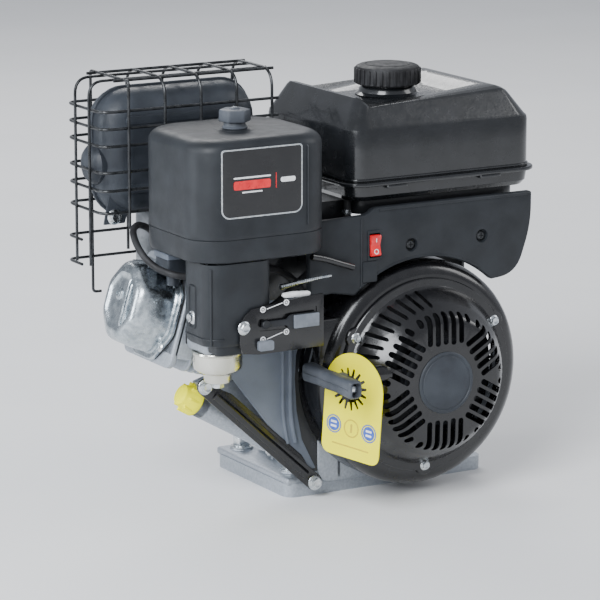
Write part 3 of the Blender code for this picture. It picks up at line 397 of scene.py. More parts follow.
def spread(knots, count):
    """Points along a Catmull-Rom curve through the knots."""
    knots = [Vector(knot) for knot in knots]
    ends = [2 * knots[0] - knots[1], *knots, 2 * knots[-1] - knots[-2]]
    route = []
    for step in range(count):
        spot = step / (count - 1) * (len(knots) - 1)
        index = min(int(spot), len(knots) - 2)
        t = spot - index
        a, b, c, d = ends[index : index + 4]
        bend = (2 * a - 5 * b + 4 * c - d) * t**2 + (3 * b - a - 3 * c + d) * t**3
        route.append(0.5 * (2 * b + (c - a) * t + bend))
    return route


def bent(corners, radius, steps=6, closed=False):
    """A route of straight runs whose corners are rounded off."""
    corners = [Vector(corner) for corner in corners]
    route = [] if closed else [corners[0]]
    inner = range(len(corners)) if closed else range(1, len(corners) - 1)
    for k in inner:
        before, here, after = corners[k - 1], corners[k], corners[(k + 1) % len(corners)]
        start = here + (before - here).normalized() * radius
        end = here + (after - here).normalized() * radius
        for step in range(steps + 1):
            t = step / steps
            route.append(start * (1 - t) ** 2 + here * 2 * t * (1 - t) + end * t**2)
    if not closed:
        route.append(corners[-1])
    return route


def rounded(half_x, half_y, radius, steps=8, height=None):
    """The outline of a rounded rectangle, as 2D points or, with a height, as 3D ones."""
    radius = max(min(radius, half_x - 0.0001, half_y - 0.0001), 0.0001)
    outline = []
    for quarter, (sign_x, sign_y) in enumerate(((1, 1), (-1, 1), (-1, -1), (1, -1))):
        for step in range(steps + 1):
            angle = TURN / 4 * (quarter + step / steps)
            x = sign_x * (half_x - radius) + radius * cos(angle)
            y = sign_y * (half_y - radius) + radius * sin(angle)
            outline.append((x, y) if height is None else (x, y, height))
    return outline


def arc(radius, first, last, count, centre=(0, 0)):
    """Points on an arc, from one angle to another in degrees."""
    points = []
    for k in range(count):
        angle = radians(first + (last - first) * k / (count - 1))
        points.append((centre[0] + radius * cos(angle), centre[1] + radius * sin(angle)))
    return points


def shifted(outline, centre, height=None):
    """A 2D outline brought to a centre, as 2D points or, with a height, as 3D ones."""
    ends = () if height is None else (height,)
    return [(x + centre.x, y + centre.y, *ends) for x, y in outline]


def eased(outline, radius, steps):
    """A closed 2D outline with its corners rounded off."""
    return [(spot.x, spot.y) for spot in bent([(x, y, 0) for x, y in outline], radius, steps, closed=True)]


def turned(angle, axis="Z"):
    return Matrix.Rotation(angle, 4, axis)


def centred(low, high, height):
    """The middle of a box seen from above, at a height."""
    return Vector(((low.x + high.x) / 2, (low.y + high.y) / 2, height))


def facing_front(x, y, z):
    """Local X is world X, local Y is world Z and local Z points to the front."""
    return Matrix.Translation((x, y, z)) @ turned(pi / 2, "X")


def lying(x, y, z):
    return Matrix.Translation((x, y, z))


def baked(shape):
    """A bmesh of the shape with its modifiers applied, in the scene's frame."""
    bpy.context.view_layer.update()
    graph = bpy.context.evaluated_depsgraph_get()
    mesh = bpy.data.meshes.new_from_object(shape.evaluated_get(graph))
    mesh.transform(shape.matrix_world)
    return mesh


def piece(name, shapes, finish, body="engine", node=None, angle=32):
    """Joins shapes into one finished, smooth-shaded piece that rides on a body.

    A piece that stands for a CAD node hides that node.
    """
    built = bmesh.new()
    used = [finish]
    for shape in shapes:
        own = shape.get("finish", finish)
        if own not in used:
            used.append(own)
        before = len(built.faces)
        mesh = baked(shape)
        built.from_mesh(mesh)
        built.faces.ensure_lookup_table()
        for face in built.faces[before:]:
            face.material_index = used.index(own)
    for tool in [thing for thing in bpy.data.objects if thing.name.startswith("shape")]:
        if tool.get("tool") or tool in shapes:
            bpy.data.objects.remove(tool)
    mesh = bpy.data.meshes.new(name)
    built.to_mesh(mesh)
    built.free()
    mesh.shade_smooth()
    mesh.set_sharp_from_angle(angle=radians(angle))
    made = bpy.data.objects.new(name, mesh)
    scene.collection.objects.link(made)
    for own in used:
        mesh.materials.append(finishes[own])
    if body:
        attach(made, body)
    if node:
        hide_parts(node)
    return made


def hex_bolt(place, way, across, flange=0.0, washer=0.0, tip=0.0, spin=0.0):
    """A hexagon head seated at place. across is its width, and flange, washer and tip are optional sizes."""
    seat, way = Vector(place), Vector(way).normalized()
    shapes = []
    if washer:
        shapes.append(lathe(disc_profile(washer, 0.0014, 0.0003), seat, way, 40))
        seat = seat + way * 0.0014
    if flange:
        cone = [(0, 0.002), (flange * 0.62, 0.002), (flange * 0.92, 0.001), (flange, 0.0004), (flange, 0),
                (0, 0)]
        shapes.append(lathe(cone, seat, way, 40))
        seat = seat + way * 0.0012
    height = across * 0.42
    head = drum(seat, seat + way * height, across * 0.577, 6, spin=spin)
    crown = lathe([(0, height * 0.93), (across * 0.34, height * 0.93), (across * 0.4, height),
                   (across * 0.47, height), (across * 0.62, height * 0.82), (across * 0.62, -0.001),
                   (0, -0.001)], seat, way, 36)
    shapes.append(combine(head, "INTERSECT", [crown]))
    if tip:
        shapes.append(lathe(disc_profile(across * 0.27, height + tip, 0.0008), seat, way, 28))
    return shapes


def disc_profile(radius, height, ease=0.0005):
    return [(0, height), (radius - ease, height), (radius, height - ease), (radius, ease), (radius - ease, 0),
            (0, 0)]


def stand_for(node, finish):
    """Gives a CAD node its finish where its own shape is already right."""
    shown = frame["nodes"][node]
    shown.data.materials.clear()
    shown.data.materials.append(finishes[finish])
    shown.data.polygons.foreach_set("material_index", [0] * len(shown.data.polygons))


# The cylinder side


def cylinder_head():
    """The finned head, in the cylinder's frame, where Z runs along the cylinder."""
    deck, top, half_x, half_y = 0.1788, 0.2563, 0.052, 0.05
    core = block((-half_x + 0.012, -half_y, deck), (half_x - 0.004, half_y, top), 0.003)
    core.matrix_world = CYLINDER @ core.matrix_world
    shapes = [core]
    fin_gap = 0.0085
    for fin in range(7):
        low = deck + 0.003 + fin_gap * fin
        one = plate(rounded(half_x, half_y, 0.012, 4), 0.003, lying(0, 0, low + 0.0015), 0.0008)
        one.matrix_world = CYLINDER @ one.matrix_world
        shapes.append(one)
    flange = plate(rounded(half_x, half_y, 0.01, 4), 0.006, lying(0, 0, top - 0.003), 0.0012)
    flange.matrix_world = CYLINDER @ flange.matrix_world
    shapes.append(flange)
    piece("finned_head", shapes, "cast_aluminium", node="cylinder_head")


def octagon(half_x, half_y, height, ease=0.0, steps=3):
    """An eight-sided outline with flats at its ends and rounded corners, as 3D points."""
    corners = []
    for k in range(8):
        angle = radians(22.5 + 45 * k)
        corners.append(Vector((half_x * cos(angle) / 0.924, half_y * sin(angle) / 0.924, height)))
    return bent(corners, max(ease, 0.001), steps, closed=True)


def valve_cover():
    """The bright pressed cover with its raised rim, stepped dome and stiffening ridges."""
    half_x, half_y, foot = 0.0497, 0.046, 0.2583
    levels = [(0.0, foot, 0.006), (0.0, foot + 0.0022, 0.006), (0.0012, foot + 0.0032, 0.006),
              (0.0052, foot + 0.0034, 0.006), (0.0066, foot + 0.0048, 0.006), (0.007, foot + 0.018, 0.006),
              (0.009, foot + 0.031, 0.006), (0.01, foot + 0.035, 0.006), (0.0118, foot + 0.0385, 0.006),
              (0.0145, foot + 0.0412, 0.006), (0.0182, foot + 0.0428, 0.005), (0.0215, foot + 0.043, 0.005),
              (0.0232, foot + 0.0421, 0.005), (0.0246, foot + 0.0412, 0.006), (0.03, foot + 0.041, 0.005)]
    shell = loft([octagon(half_x - inset, half_y - inset, height, ease) for inset, height, ease in levels])
    shapes = [shell]
    floor = foot + 0.0408
    for y, reach in ((-0.015, 0.021), (-0.0095, 0.024)):
        ridge = [(-reach, y, floor - 0.001), (-reach + 0.003, y, floor + 0.0006),
                 (reach - 0.003, y, floor + 0.0006), (reach, y, floor - 0.001)]
        shapes.append(tube(bent(ridge, 0.002, 4), 0.0017, 12))
    for k in range(5):
        x, y = half_x - 0.008, -0.016 + 0.008 * k
        shapes.append(tube([(x, y, foot + 0.012), (x - 0.0022, y, foot + 0.03)], 0.0014, 10))
    boss = lathe([(0, 0.0022), (0.004, 0.0022), (0.0056, 0.0016), (0.0066, 0.0), (0.0066, -0.001),
                  (0, -0.001)], (0.006, 0.006, floor))
    boss_ring = hoop(0.0019, 0.003, 0.0016, 0.0029, (0.006, 0.006, floor))
    shapes += [boss, boss_ring]
    for shape in shapes:
        shape.matrix_world = CYLINDER @ shape.matrix_world
    piece("pressed_valve_cover", shapes, "pressed_zinc", node="valve_cover", angle=28)
    gasket = plate([(p.x, p.y) for p in octagon(half_x, half_y, 0, 0.01)], 0.0012,
                   CYLINDER @ lying(0, 0, 0.2572))
    piece("rocker_gasket", [gasket], "gasket_fibre", node="valve_cover_gasket")
    bolts = []
    for k in range(4):
        angle = radians(45 + 90 * k)
        seat = CYLINDER @ Vector((0.0455 * cos(angle) / 0.95, 0.0425 * sin(angle) / 0.95, foot + 0.003))
        bolts += hex_bolt(seat, CYLINDER.to_3x3() @ UP, 0.006, 0.0048)
    piece("valve_cover_bolts", bolts, "bright_zinc")


def spark_plug_set():
    """The boot over the plug, the lead's loop, and the breather box."""
    low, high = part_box("spark_plug_boot")
    middle = (low + high) / 2
    way = (CYLINDER.to_3x3() @ Vector((0.36, 0.1, 0.93))).normalized()
    foot = middle - way * 0.0125
    profile = [(0, 0.0255), (0.0058, 0.0255), (0.0074, 0.024), (0.0078, 0.019), (0.007, 0.0178),
               (0.007, 0.016), (0.0084, 0.015), (0.009, 0.005), (0.0096, 0.002), (0.0096, 0), (0, 0)]
    piece("plug_boot", [lathe(profile, foot, way, 40)], "black_rubber", node="spark_plug_boot")
    route = [(-0.2393, 0.0189, 0.2721), (-0.248, 0.0195, 0.2785), (-0.26, 0.0135, 0.2825),
             (-0.272, 0.0, 0.28), (-0.2765, -0.016, 0.27), (-0.274, -0.032, 0.2575), (-0.264, -0.045, 0.248),
             (-0.246, -0.058, 0.243), (-0.215, -0.0625, 0.245), (-0.175, -0.063, 0.248),
             (-0.135, -0.064, 0.233), (-0.112, -0.066, 0.208), (-0.096, -0.067, 0.193)]
    lead = tube(spread(route, 90), 0.0034, 16)
    piece("ignition_lead", [lead], "black_rubber", node="spark_plug_lead")
    low, high = Vector((-0.258, -0.046, 0.2405)), Vector((-0.236, -0.019, 0.263))
    box = block(low, high, 0.002)
    # The lid's pale slate finish is a painted highlight along the top of the box.
    painted_highlight_lid = block((low.x - 0.0012, low.y - 0.0012, high.z - 0.0055),
                (high.x + 0.0012, high.y + 0.0012, high.z + 0.0012), 0.0014)
    nipple = drum((high.x - 0.002, -0.03, 0.25), (high.x + 0.01, -0.03, 0.25), 0.0042, 28)
    foot = drum((-0.246, -0.033, 0.23), (-0.246, -0.033, 0.241), 0.0065, 28)
    piece("breather_box", [box, painted(painted_highlight_lid, "slate_plastic"), nipple, foot], "heat_resisting_paint")


def guard_bars():
    """The muffler's cage: level hoops, arches over the top, and long wires along it."""
    low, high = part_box("muffler_guard")
    wire = 0.0015
    left, right, front, back = low.x + wire, high.x, low.y + wire, high.y - wire
    top = high.z - wire
    lap = wire * 1.3
    routes = []
    for height in (0.295, 0.317, 0.335, 0.361, 0.378, 0.395):
        corners = [(right, front + lap, height), (left + lap, front + lap, height),
                   (left + lap, back - lap, height), (right, back - lap, height)]
        routes.append(bent(corners, 0.014, 8))
    for index in range(5):
        x = -0.266 + 0.04 * index
        corners = [(x, front, 0.28), (x, front, top), (x, back, top), (x, back, 0.24)]
        if index == 0:
            corners[-1:] = [(x, back, 0.2), (x + 0.009, back, 0.2)]
        routes.append(bent(corners, 0.02 if index else 0.004, 8))
    for y in (0.045, 0.075):
        corners = [(left, y, 0.24), (left, y, top - lap), (right, y, top - lap)]
        routes.append(bent(corners, 0.016, 8))
    for height in (0.237, 0.262):
        corners = [(left + lap, 0.068, height), (left + lap, back - lap, height),
                   (-0.108, back - lap, height)]
        routes.append(bent(corners, 0.01, 8))
    for y in (front + 0.012, back - 0.012):
        routes.append([(left + 0.02, y, top - lap * 0.4), (right, y, top - lap * 0.4)])
    shapes = [tube(route, wire, 10) for route in routes]
    for x in (-0.23, -0.15):
        shapes.append(block((x - 0.006, 0.0903, 0.346), (x + 0.006, back + 0.0005, 0.3475), 0.0004, 2))
    piece("wire_guard", shapes, "black_coat_and_painted_shade", node="muffler_guard")


def muffler_can():
    """The muffler's two pressed halves with their rolled seam, ribs, outlet and fixing bolt."""
    low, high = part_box("muffler")
    middle = (low + high) / 2
    half_x, half_z = (high.x - low.x) / 2, (high.z - low.z) / 2
    place = facing_front(middle.x, middle.y, middle.z)
    depth = high.y - middle.y
    levels = [(0.03, depth), (0.018, depth - 0.0015), (0.009, depth - 0.006), (0.0035, depth - 0.0125),
              (0.0008, depth - 0.02), (0.0, depth - 0.028)]
    levels += [(inset, -offset) for inset, offset in reversed(levels)]
    can = loft([rounded(half_x - inset, half_z - inset, 0.034 - inset * 0.4, 8, offset)
                for inset, offset in levels], place)
    seam = plate(rounded(half_x + 0.0022, half_z + 0.0022, 0.035, 8), 0.0034, place, 0.0011, 3)
    shapes = [can, seam]
    for height in (-0.034, 0.034):
        bead = plate(rounded(half_x - 0.022, 0.0045, 0.0044, 6), 0.003,
                     place @ lying(0, height, depth - 0.0002), 0.001)
        shapes.append(bead)
    outlet_route = [(-0.14, 0.088, 0.35), (-0.14, 0.0985, 0.35)]
    shapes.append(tube(outlet_route, 0.0095, 28))
    bulge = [(0, 0.0088), (0.009, 0.0082), (0.015, 0.006), (0.0185, 0.0026), (0.0205, 0.0), (0.0205, -0.012),
             (0, -0.012)]
    shapes.append(lathe(bulge, (low.x, middle.y, 0.338), LEFT, 56))
    tab = plate([(-0.283, 0.28), (-0.26, 0.28), (-0.252, 0.306), (-0.276, 0.314)], 0.0026,
                facing_front(0, 0.042, 0), 0.0006)
    shapes.append(tab)
    piece("muffler_can", shapes, "heat_resisting_paint", node="muffler")
    bolt = hex_bolt((-0.2716, 0.0406, 0.2872), FRONT, 0.0095, 0.0078)
    piece("muffler_bolt", bolt, "bright_zinc")


def exhaust():
    low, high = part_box("exhaust_pipe")
    port = Vector((-0.222, low.y, 0.195))
    route = bent([port + BACK * 0.004, Vector((port.x, 0.0655, port.z)), Vector((port.x, 0.0655, high.z))],
                 0.0125, 10)
    flange = plate(rounded(0.025, 0.017, 0.008, 6), 0.006, facing_front(port.x, port.y + 0.003, port.z),
                   0.0008)
    bolts = []
    for side in (-1, 1):
        bolts += hex_bolt(port + Vector((0.019 * side, 0.006, 0)), BACK, 0.008, 0.006, tip=0.003)
    pipe = [tube(route, 0.012, 28), flange, *[painted(bolt, "bright_zinc") for bolt in bolts]]
    piece("exhaust_elbow", pipe, "shaded_casting", node="exhaust_pipe")


def shroud():
    """The air shroud before the cylinder in its own tone lightened by painted sheen, its two ribs, and the
    dark shields beside and above it.
    """
    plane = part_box("cylinder_shroud")[1].y - 0.001
    edge = [(-0.113, 0.062), (-0.119, 0.092), (-0.121, 0.125), (-0.1195, 0.15), (-0.114, 0.172),
            (-0.105, 0.192), (-0.094, 0.206)]
    outline = [(-0.194, 0.222), (-0.194, 0.136), (-0.112, 0.03), (-0.097, 0.03), *edge, (-0.094, 0.222)]
    shapes = [plate(outline, 0.002, facing_front(0, plane, 0), 0.0007)]
    inner = [(-0.1265, 0.219), (-0.1268, 0.085), (-0.121, 0.06)]
    for shift, reach in ((0.0, 0.003), (-0.0085, 0.0024)):
        route = [(x + shift, plane - 0.0008, z) for x, z in inner]
        shapes.append(tube(bent(route, 0.02, 6), reach, 12))
    piece("air_shroud", shapes, "slate_plastic", node="cylinder_shroud")
    wing = [(-0.134, 0.218), (-0.134, 0.06), (-0.108, 0.026), (-0.07, 0.026), (-0.07, 0.218)]
    lower = plate(wing, 0.0014, facing_front(0, -0.0491, 0), 0.0005)
    ledge = [(-0.196, 0.2655), (-0.196, 0.2085), (-0.06, 0.2085), (-0.06, 0.301), (-0.118, 0.301),
             (-0.118, 0.2655)]
    upper = plate(eased(ledge, 0.004, 3), 0.0018, facing_front(0, -0.056, 0), 0.0006)
    piece("blower_shields", [lower, upper], "black_satin_paint")


def carburetor():
    """Body, insulating spacer and the bright float bowl under them."""
    low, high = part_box("carburetor_body")
    port = Vector((-0.222, 0, 0.195))
    shapes = [block(low, high, 0.004),
              drum((port.x, low.y + 0.02, low.z - 0.002), (port.x, low.y + 0.02, low.z + 0.004), 0.02)]
    for side in (-1, 1):
        shapes.append(drum((port.x + 0.0185 * side, low.y, port.z), (port.x + 0.0185 * side, high.y, port.z),
                           0.0055, 24))
    piece("carburetor_casting", shapes, "cast_aluminium", node="carburetor_body")
    low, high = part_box("intake_spacer")
    spacer = cut(block(low, high, 0.001, 2),
                 drum((port.x, low.y - 0.01, port.z), (port.x, high.y + 0.01, port.z), 0.0135))
    piece("insulating_spacer", [spacer], "black_rubber", node="intake_spacer")
    low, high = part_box("float_bowl")
    centre = centred(low, high, 0)
    rim, radius = high.z, (high.x - low.x) / 2
    profile = [(0, rim), (radius - 0.0004, rim), (radius, rim - 0.0006), (radius, rim - 0.0028),
               (radius - 0.001, rim - 0.0036), (radius - 0.0012, low.z + 0.017),
               (radius - 0.002, low.z + 0.0138), (radius - 0.0044, low.z + 0.0118), (0.016, low.z + 0.0096),
               (0.0148, low.z + 0.0088), (0.014, low.z + 0.0064), (0.0136, low.z + 0.001), (0.0126, low.z),
               (0, low.z)]
    piece("fuel_bowl", [lathe(profile, centre)], "yellow_chromate", node="float_bowl",
          angle=50)
    low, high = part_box("bowl_bolt")
    place = Vector((centre.x, centre.y, high.z))
    bolt = hex_bolt(place, -UP, 0.0105, 0.0078, spin=0.2)
    piece("bowl_screw", bolt, "bright_zinc", node="bowl_bolt")


def carburetor_cover():
    """The moulded cover round the carburettor, with its groove and two recessed flange bolts."""
    low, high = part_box("carburetor_cover")
    middle = (low + high) / 2
    half_x, half_y = (high.x - low.x) / 2, (high.y - low.y) / 2
    foot, top = low.z - middle.z, high.z - middle.z
    levels = [(0.008, foot), (0.0035, foot + 0.0012), (0.001, foot + 0.004), (0.0, foot + 0.0085), (0.0, top)]
    outer = loft([rounded(half_x - inset, half_y - inset, 0.016, 8, height) for inset, height in levels],
                 lying(*middle))
    shell = cut(outer, plate(rounded(half_x - 0.0025, half_y - 0.0025, 0.0135, 8), high.z - low.z + 0.04,
                             lying(*middle)), block((low.x + 0.012, high.y - 0.02, low.z - 0.01),
                                                    (high.x + 0.01, high.y + 0.01, high.z + 0.01)))
    piece("carburetor_shell", [shell], "charcoal_plastic", node="carburetor_cover")
    groove_x = low.x + 0.0002
    raised = []
    edge = [(groove_x, -0.0885, 0.201), (groove_x, -0.101, 0.201), (groove_x, -0.101, 0.242),
            (groove_x, -0.0885, 0.242)]
    raised.append(tube(bent(edge, 0.004, 5, closed=True), 0.0013, 10, closed=True))
    corner = [(low.x + 0.0045, low.y + 0.0045, 0.188), (low.x + 0.0045, low.y + 0.0045, 0.262)]
    raised.append(tube(corner, 0.0012, 10))
    bottom = shifted(rounded(half_x, half_y, 0.016, 8), middle, low.z + 0.0105)
    raised.append(tube(bottom[9:27], 0.0009, 8))
    piece("carburetor_shell_ribs", raised, "charcoal_plastic")
    bolts = hex_bolt((low.x, -0.095, 0.211), LEFT, 0.0078, 0.0068)
    bolts += hex_bolt((-0.2222, -0.1322, 0.2035), FRONT, 0.0078, 0.0068, spin=0.4)
    piece("cover_bolts", bolts, "bright_zinc")


def controls():
    """The control plate with its printed marks, and the choke, fuel and throttle levers."""
    low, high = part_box("control_plate")
    front = low.y
    place = facing_front(0, (low.y + high.y) / 2, 0)
    outline = [(high.x, low.z), (high.x, high.z + 0.0065), (-0.16, high.z + 0.005), (-0.214, high.z - 0.001),
               (-0.2215, high.z - 0.0075), (-0.2268, high.z - 0.016), (-0.2268, low.z + 0.011),
               (-0.2235, low.z + 0.002), (-0.205, low.z - 0.0005)]
    body = plate(outline, high.y - low.y, place, 0.0008)
    recess = plate([(-0.205, 0.1985), (-0.205, 0.21), (-0.142, 0.2165), (-0.142, 0.1965)], 0.002,
                   facing_front(0, front, 0))
    shapes = [cut(body, recess)]
    piece("control_face", shapes, "black_gloss_paint", node="control_plate")
    marks = []
    for left_z, right_z in ((0.2195, 0.2238), (0.19, 0.195)):
        spot = front - 0.0002
        first, last = Vector((-0.1975, spot, left_z)), Vector((-0.18, spot, right_z))
        tilt = turned(atan2(last.z - first.z, last.x - first.x))
        line = rounded((last - first).length / 2, 0.0004, 0.0003, 2)
        marks.append(plate(line, 0.0004, facing_front(*(first + last) / 2) @ tilt))
        for end in (first + LEFT * 0.0042, last + RIGHT * 0.004):
            ring = hoop(0.0019, 0.003, 0, 0.0004, end, FRONT, 28)
            marks.append(ring)
            marks.append(lathe(disc_profile(0.001, 0.0004, 0.0001), end, FRONT, 16))
    piece("lever_marks", marks, "white_print")
    low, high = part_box("choke_lever")
    outline = [(-0.204, 0.202), (-0.1775, 0.202), (-0.1735, 0.198), (-0.1705, 0.1975), (-0.1428, 0.1975),
               (-0.142, 0.1983), (-0.142, 0.2112), (-0.1428, 0.212), (-0.1705, 0.212), (-0.1735, 0.2115),
               (-0.1775, 0.208), (-0.204, 0.208)]
    lever = painted(plate(outline, 0.0026, facing_front(0, -0.135, 0), 0.0006), "dark_plastic")
    face = block((-0.17, low.y, 0.1983), (-0.1424, -0.1345, 0.2112), 0.0008)
    pivot = painted(lathe(disc_profile(0.0042, 0.003), (-0.2005, -0.1348, 0.205), FRONT, 32), "dark_plastic")
    piece("choke_arm", [lever, face, pivot], "grey_plastic", "choke_lever", "choke_lever")
    low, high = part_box("fuel_valve_lever")
    tab = plate([(x + (low.x + high.x) / 2, y + (low.z + high.z) / 2)
                 for x, y in rounded(0.008, 0.00475, 0.002, 4)], high.y - low.y,
                facing_front(0, (low.y + high.y) / 2, 0), 0.0006)
    piece("fuel_lever", [tab], "grey_plastic", "fuel_valve_lever", "fuel_valve_lever")
    low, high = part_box("throttle_lever")
    pad = [(low.x + 0.002, high.z - 0.0052), (low.x, high.z - 0.0035), (low.x + 0.0015, high.z - 0.0006),
           (-0.164, high.z), (-0.1475, high.z - 0.0012), (-0.146, high.z - 0.003), (-0.1475, high.z - 0.006)]
    tip = plate(pad, high.y - low.y, facing_front(0, (low.y + high.y) / 2, 0), 0.0009)
    arm = plate([(-0.15, low.z), (-0.144, low.z), (-0.1455, 0.2285), (-0.1495, 0.2285)], 0.0022,
                facing_front(0, -0.126, 0))
    piece("throttle_arm", [painted(tip, "white_print"), arm], "bright_zinc", "throttle_lever",
          "throttle_lever")
    steps = 26
    strip = [(-0.17 + 0.0022 * k, -0.1105, 0.234 + 0.0055 * sin(pi * k / 60)) for k in range(steps)]
    spring = [drum(Vector(spot), Vector(spot) + Vector((0.0016, 0, 0.0001)), 0.0028 - 0.00006 * k, 20)
              for k, spot in enumerate(strip)]
    spring.append(tube([Vector(spot) for spot in strip], 0.0012, 10))
    route = [(-0.1345, -0.1095, 0.26), (-0.118, -0.1085, 0.2555), (-0.1, -0.107, 0.249),
             (-0.086, -0.106, 0.244)]
    linkage = tube(spread(route, 24), 0.0034, 14)
    piece("governor_spring", spring, "bright_zinc")
    piece("governor_link", [linkage], "black_gloss_paint")


def small_fittings():
    """Support brace, dipstick, drain plug and their screws."""
    top, foot = Vector((-0.224, -0.056, 0.13)), Vector((-0.1, -0.056, 0.0165))
    way = (foot - top).normalized()
    side = Vector((-way.z, 0, way.x))
    half = 0.0065
    outline = []
    for centre, first in ((top, 90), (foot, 270)):
        for step in range(9):
            angle = radians(first + 180 * step / 8)
            spot = centre + (way * cos(angle) + side * sin(angle)) * 0.0085
            outline.append((spot.x, spot.z))
    strap = plate(outline, 0.0026, facing_front(0, top.y, 0), 0.0006)
    web = [top + way * 0.012 + side * 0.007, top + way * 0.03 + side * 0.0125,
           foot - way * 0.03 + side * 0.0125, foot - way * 0.012 + side * 0.007,
           foot - way * 0.012 - side * 0.006, top + way * 0.012 - side * 0.006]
    fold = plate([(spot.x, spot.z) for spot in web], 0.0022, facing_front(0, top.y + 0.0024, 0), 0.0007)
    flute = tube([top + way * 0.014 + BACK * 0.0016, foot - way * 0.014 + BACK * 0.0016], 0.0052, 24)
    spacer = drum(foot + BACK * 0.001, (foot.x, -0.0455, foot.z), half)
    piece("brace_strap", [strap, fold, flute, spacer], "black_gloss_paint", node="support_brace")
    bolts = hex_bolt(top + FRONT * 0.0013, FRONT, 0.0095, 0.008) + hex_bolt(foot + FRONT * 0.0013, FRONT,
                                                                            0.0095, 0.008)
    piece("brace_bolts", bolts, "bright_zinc")
    mouth, out = FILLER, Vector((-0.866, 0, 0.5)).normalized()
    profile = [(0, 0.02), (0.0085, 0.02), (0.0105, 0.0188), (0.0128, 0.012), (0.015, 0.006), (0.0155, 0.0045),
               (0.0155, 0.0012), (0.0148, 0.0003), (0, 0.0003)]
    cap = lathe(profile, mouth, out, 60)
    stem = drum(mouth + out * 0.004, mouth - out * 0.1495, 0.003, 20)
    shapes = [cap, painted(stem, "machined_steel")]
    for k in range(8):
        turn = aimed(out) @ turned(TURN * k / 8)
        rib = block((-0.0012, 0.0105, 0.001), (0.0012, 0.0154, 0.015), 0.0006, 2)
        rib.matrix_world = Matrix.Translation(mouth) @ turn @ rib.matrix_world
        shapes.append(rib)
    grip = block((-0.0022, -0.008, 0.016), (0.0022, 0.008, 0.0203), 0.001, 2)
    grip.matrix_world = Matrix.Translation(mouth) @ aimed(out) @ grip.matrix_world
    shapes.append(grip)
    piece("oil_dipstick", shapes, "yellow_plastic", "dipstick", "dipstick")
    low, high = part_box("drain_plug")
    spot = Vector((-0.0943, (low.y + high.y) / 2, (low.z + high.z) / 2))
    plug = hex_bolt(spot, LEFT, 0.016, 0.0105)
    plug.append(drum(spot, spot + RIGHT * 0.012, 0.0058, 24))
    piece("oil_drain_plug", plug, "bright_zinc", node="drain_plug")


# The crankcase and what turns in it


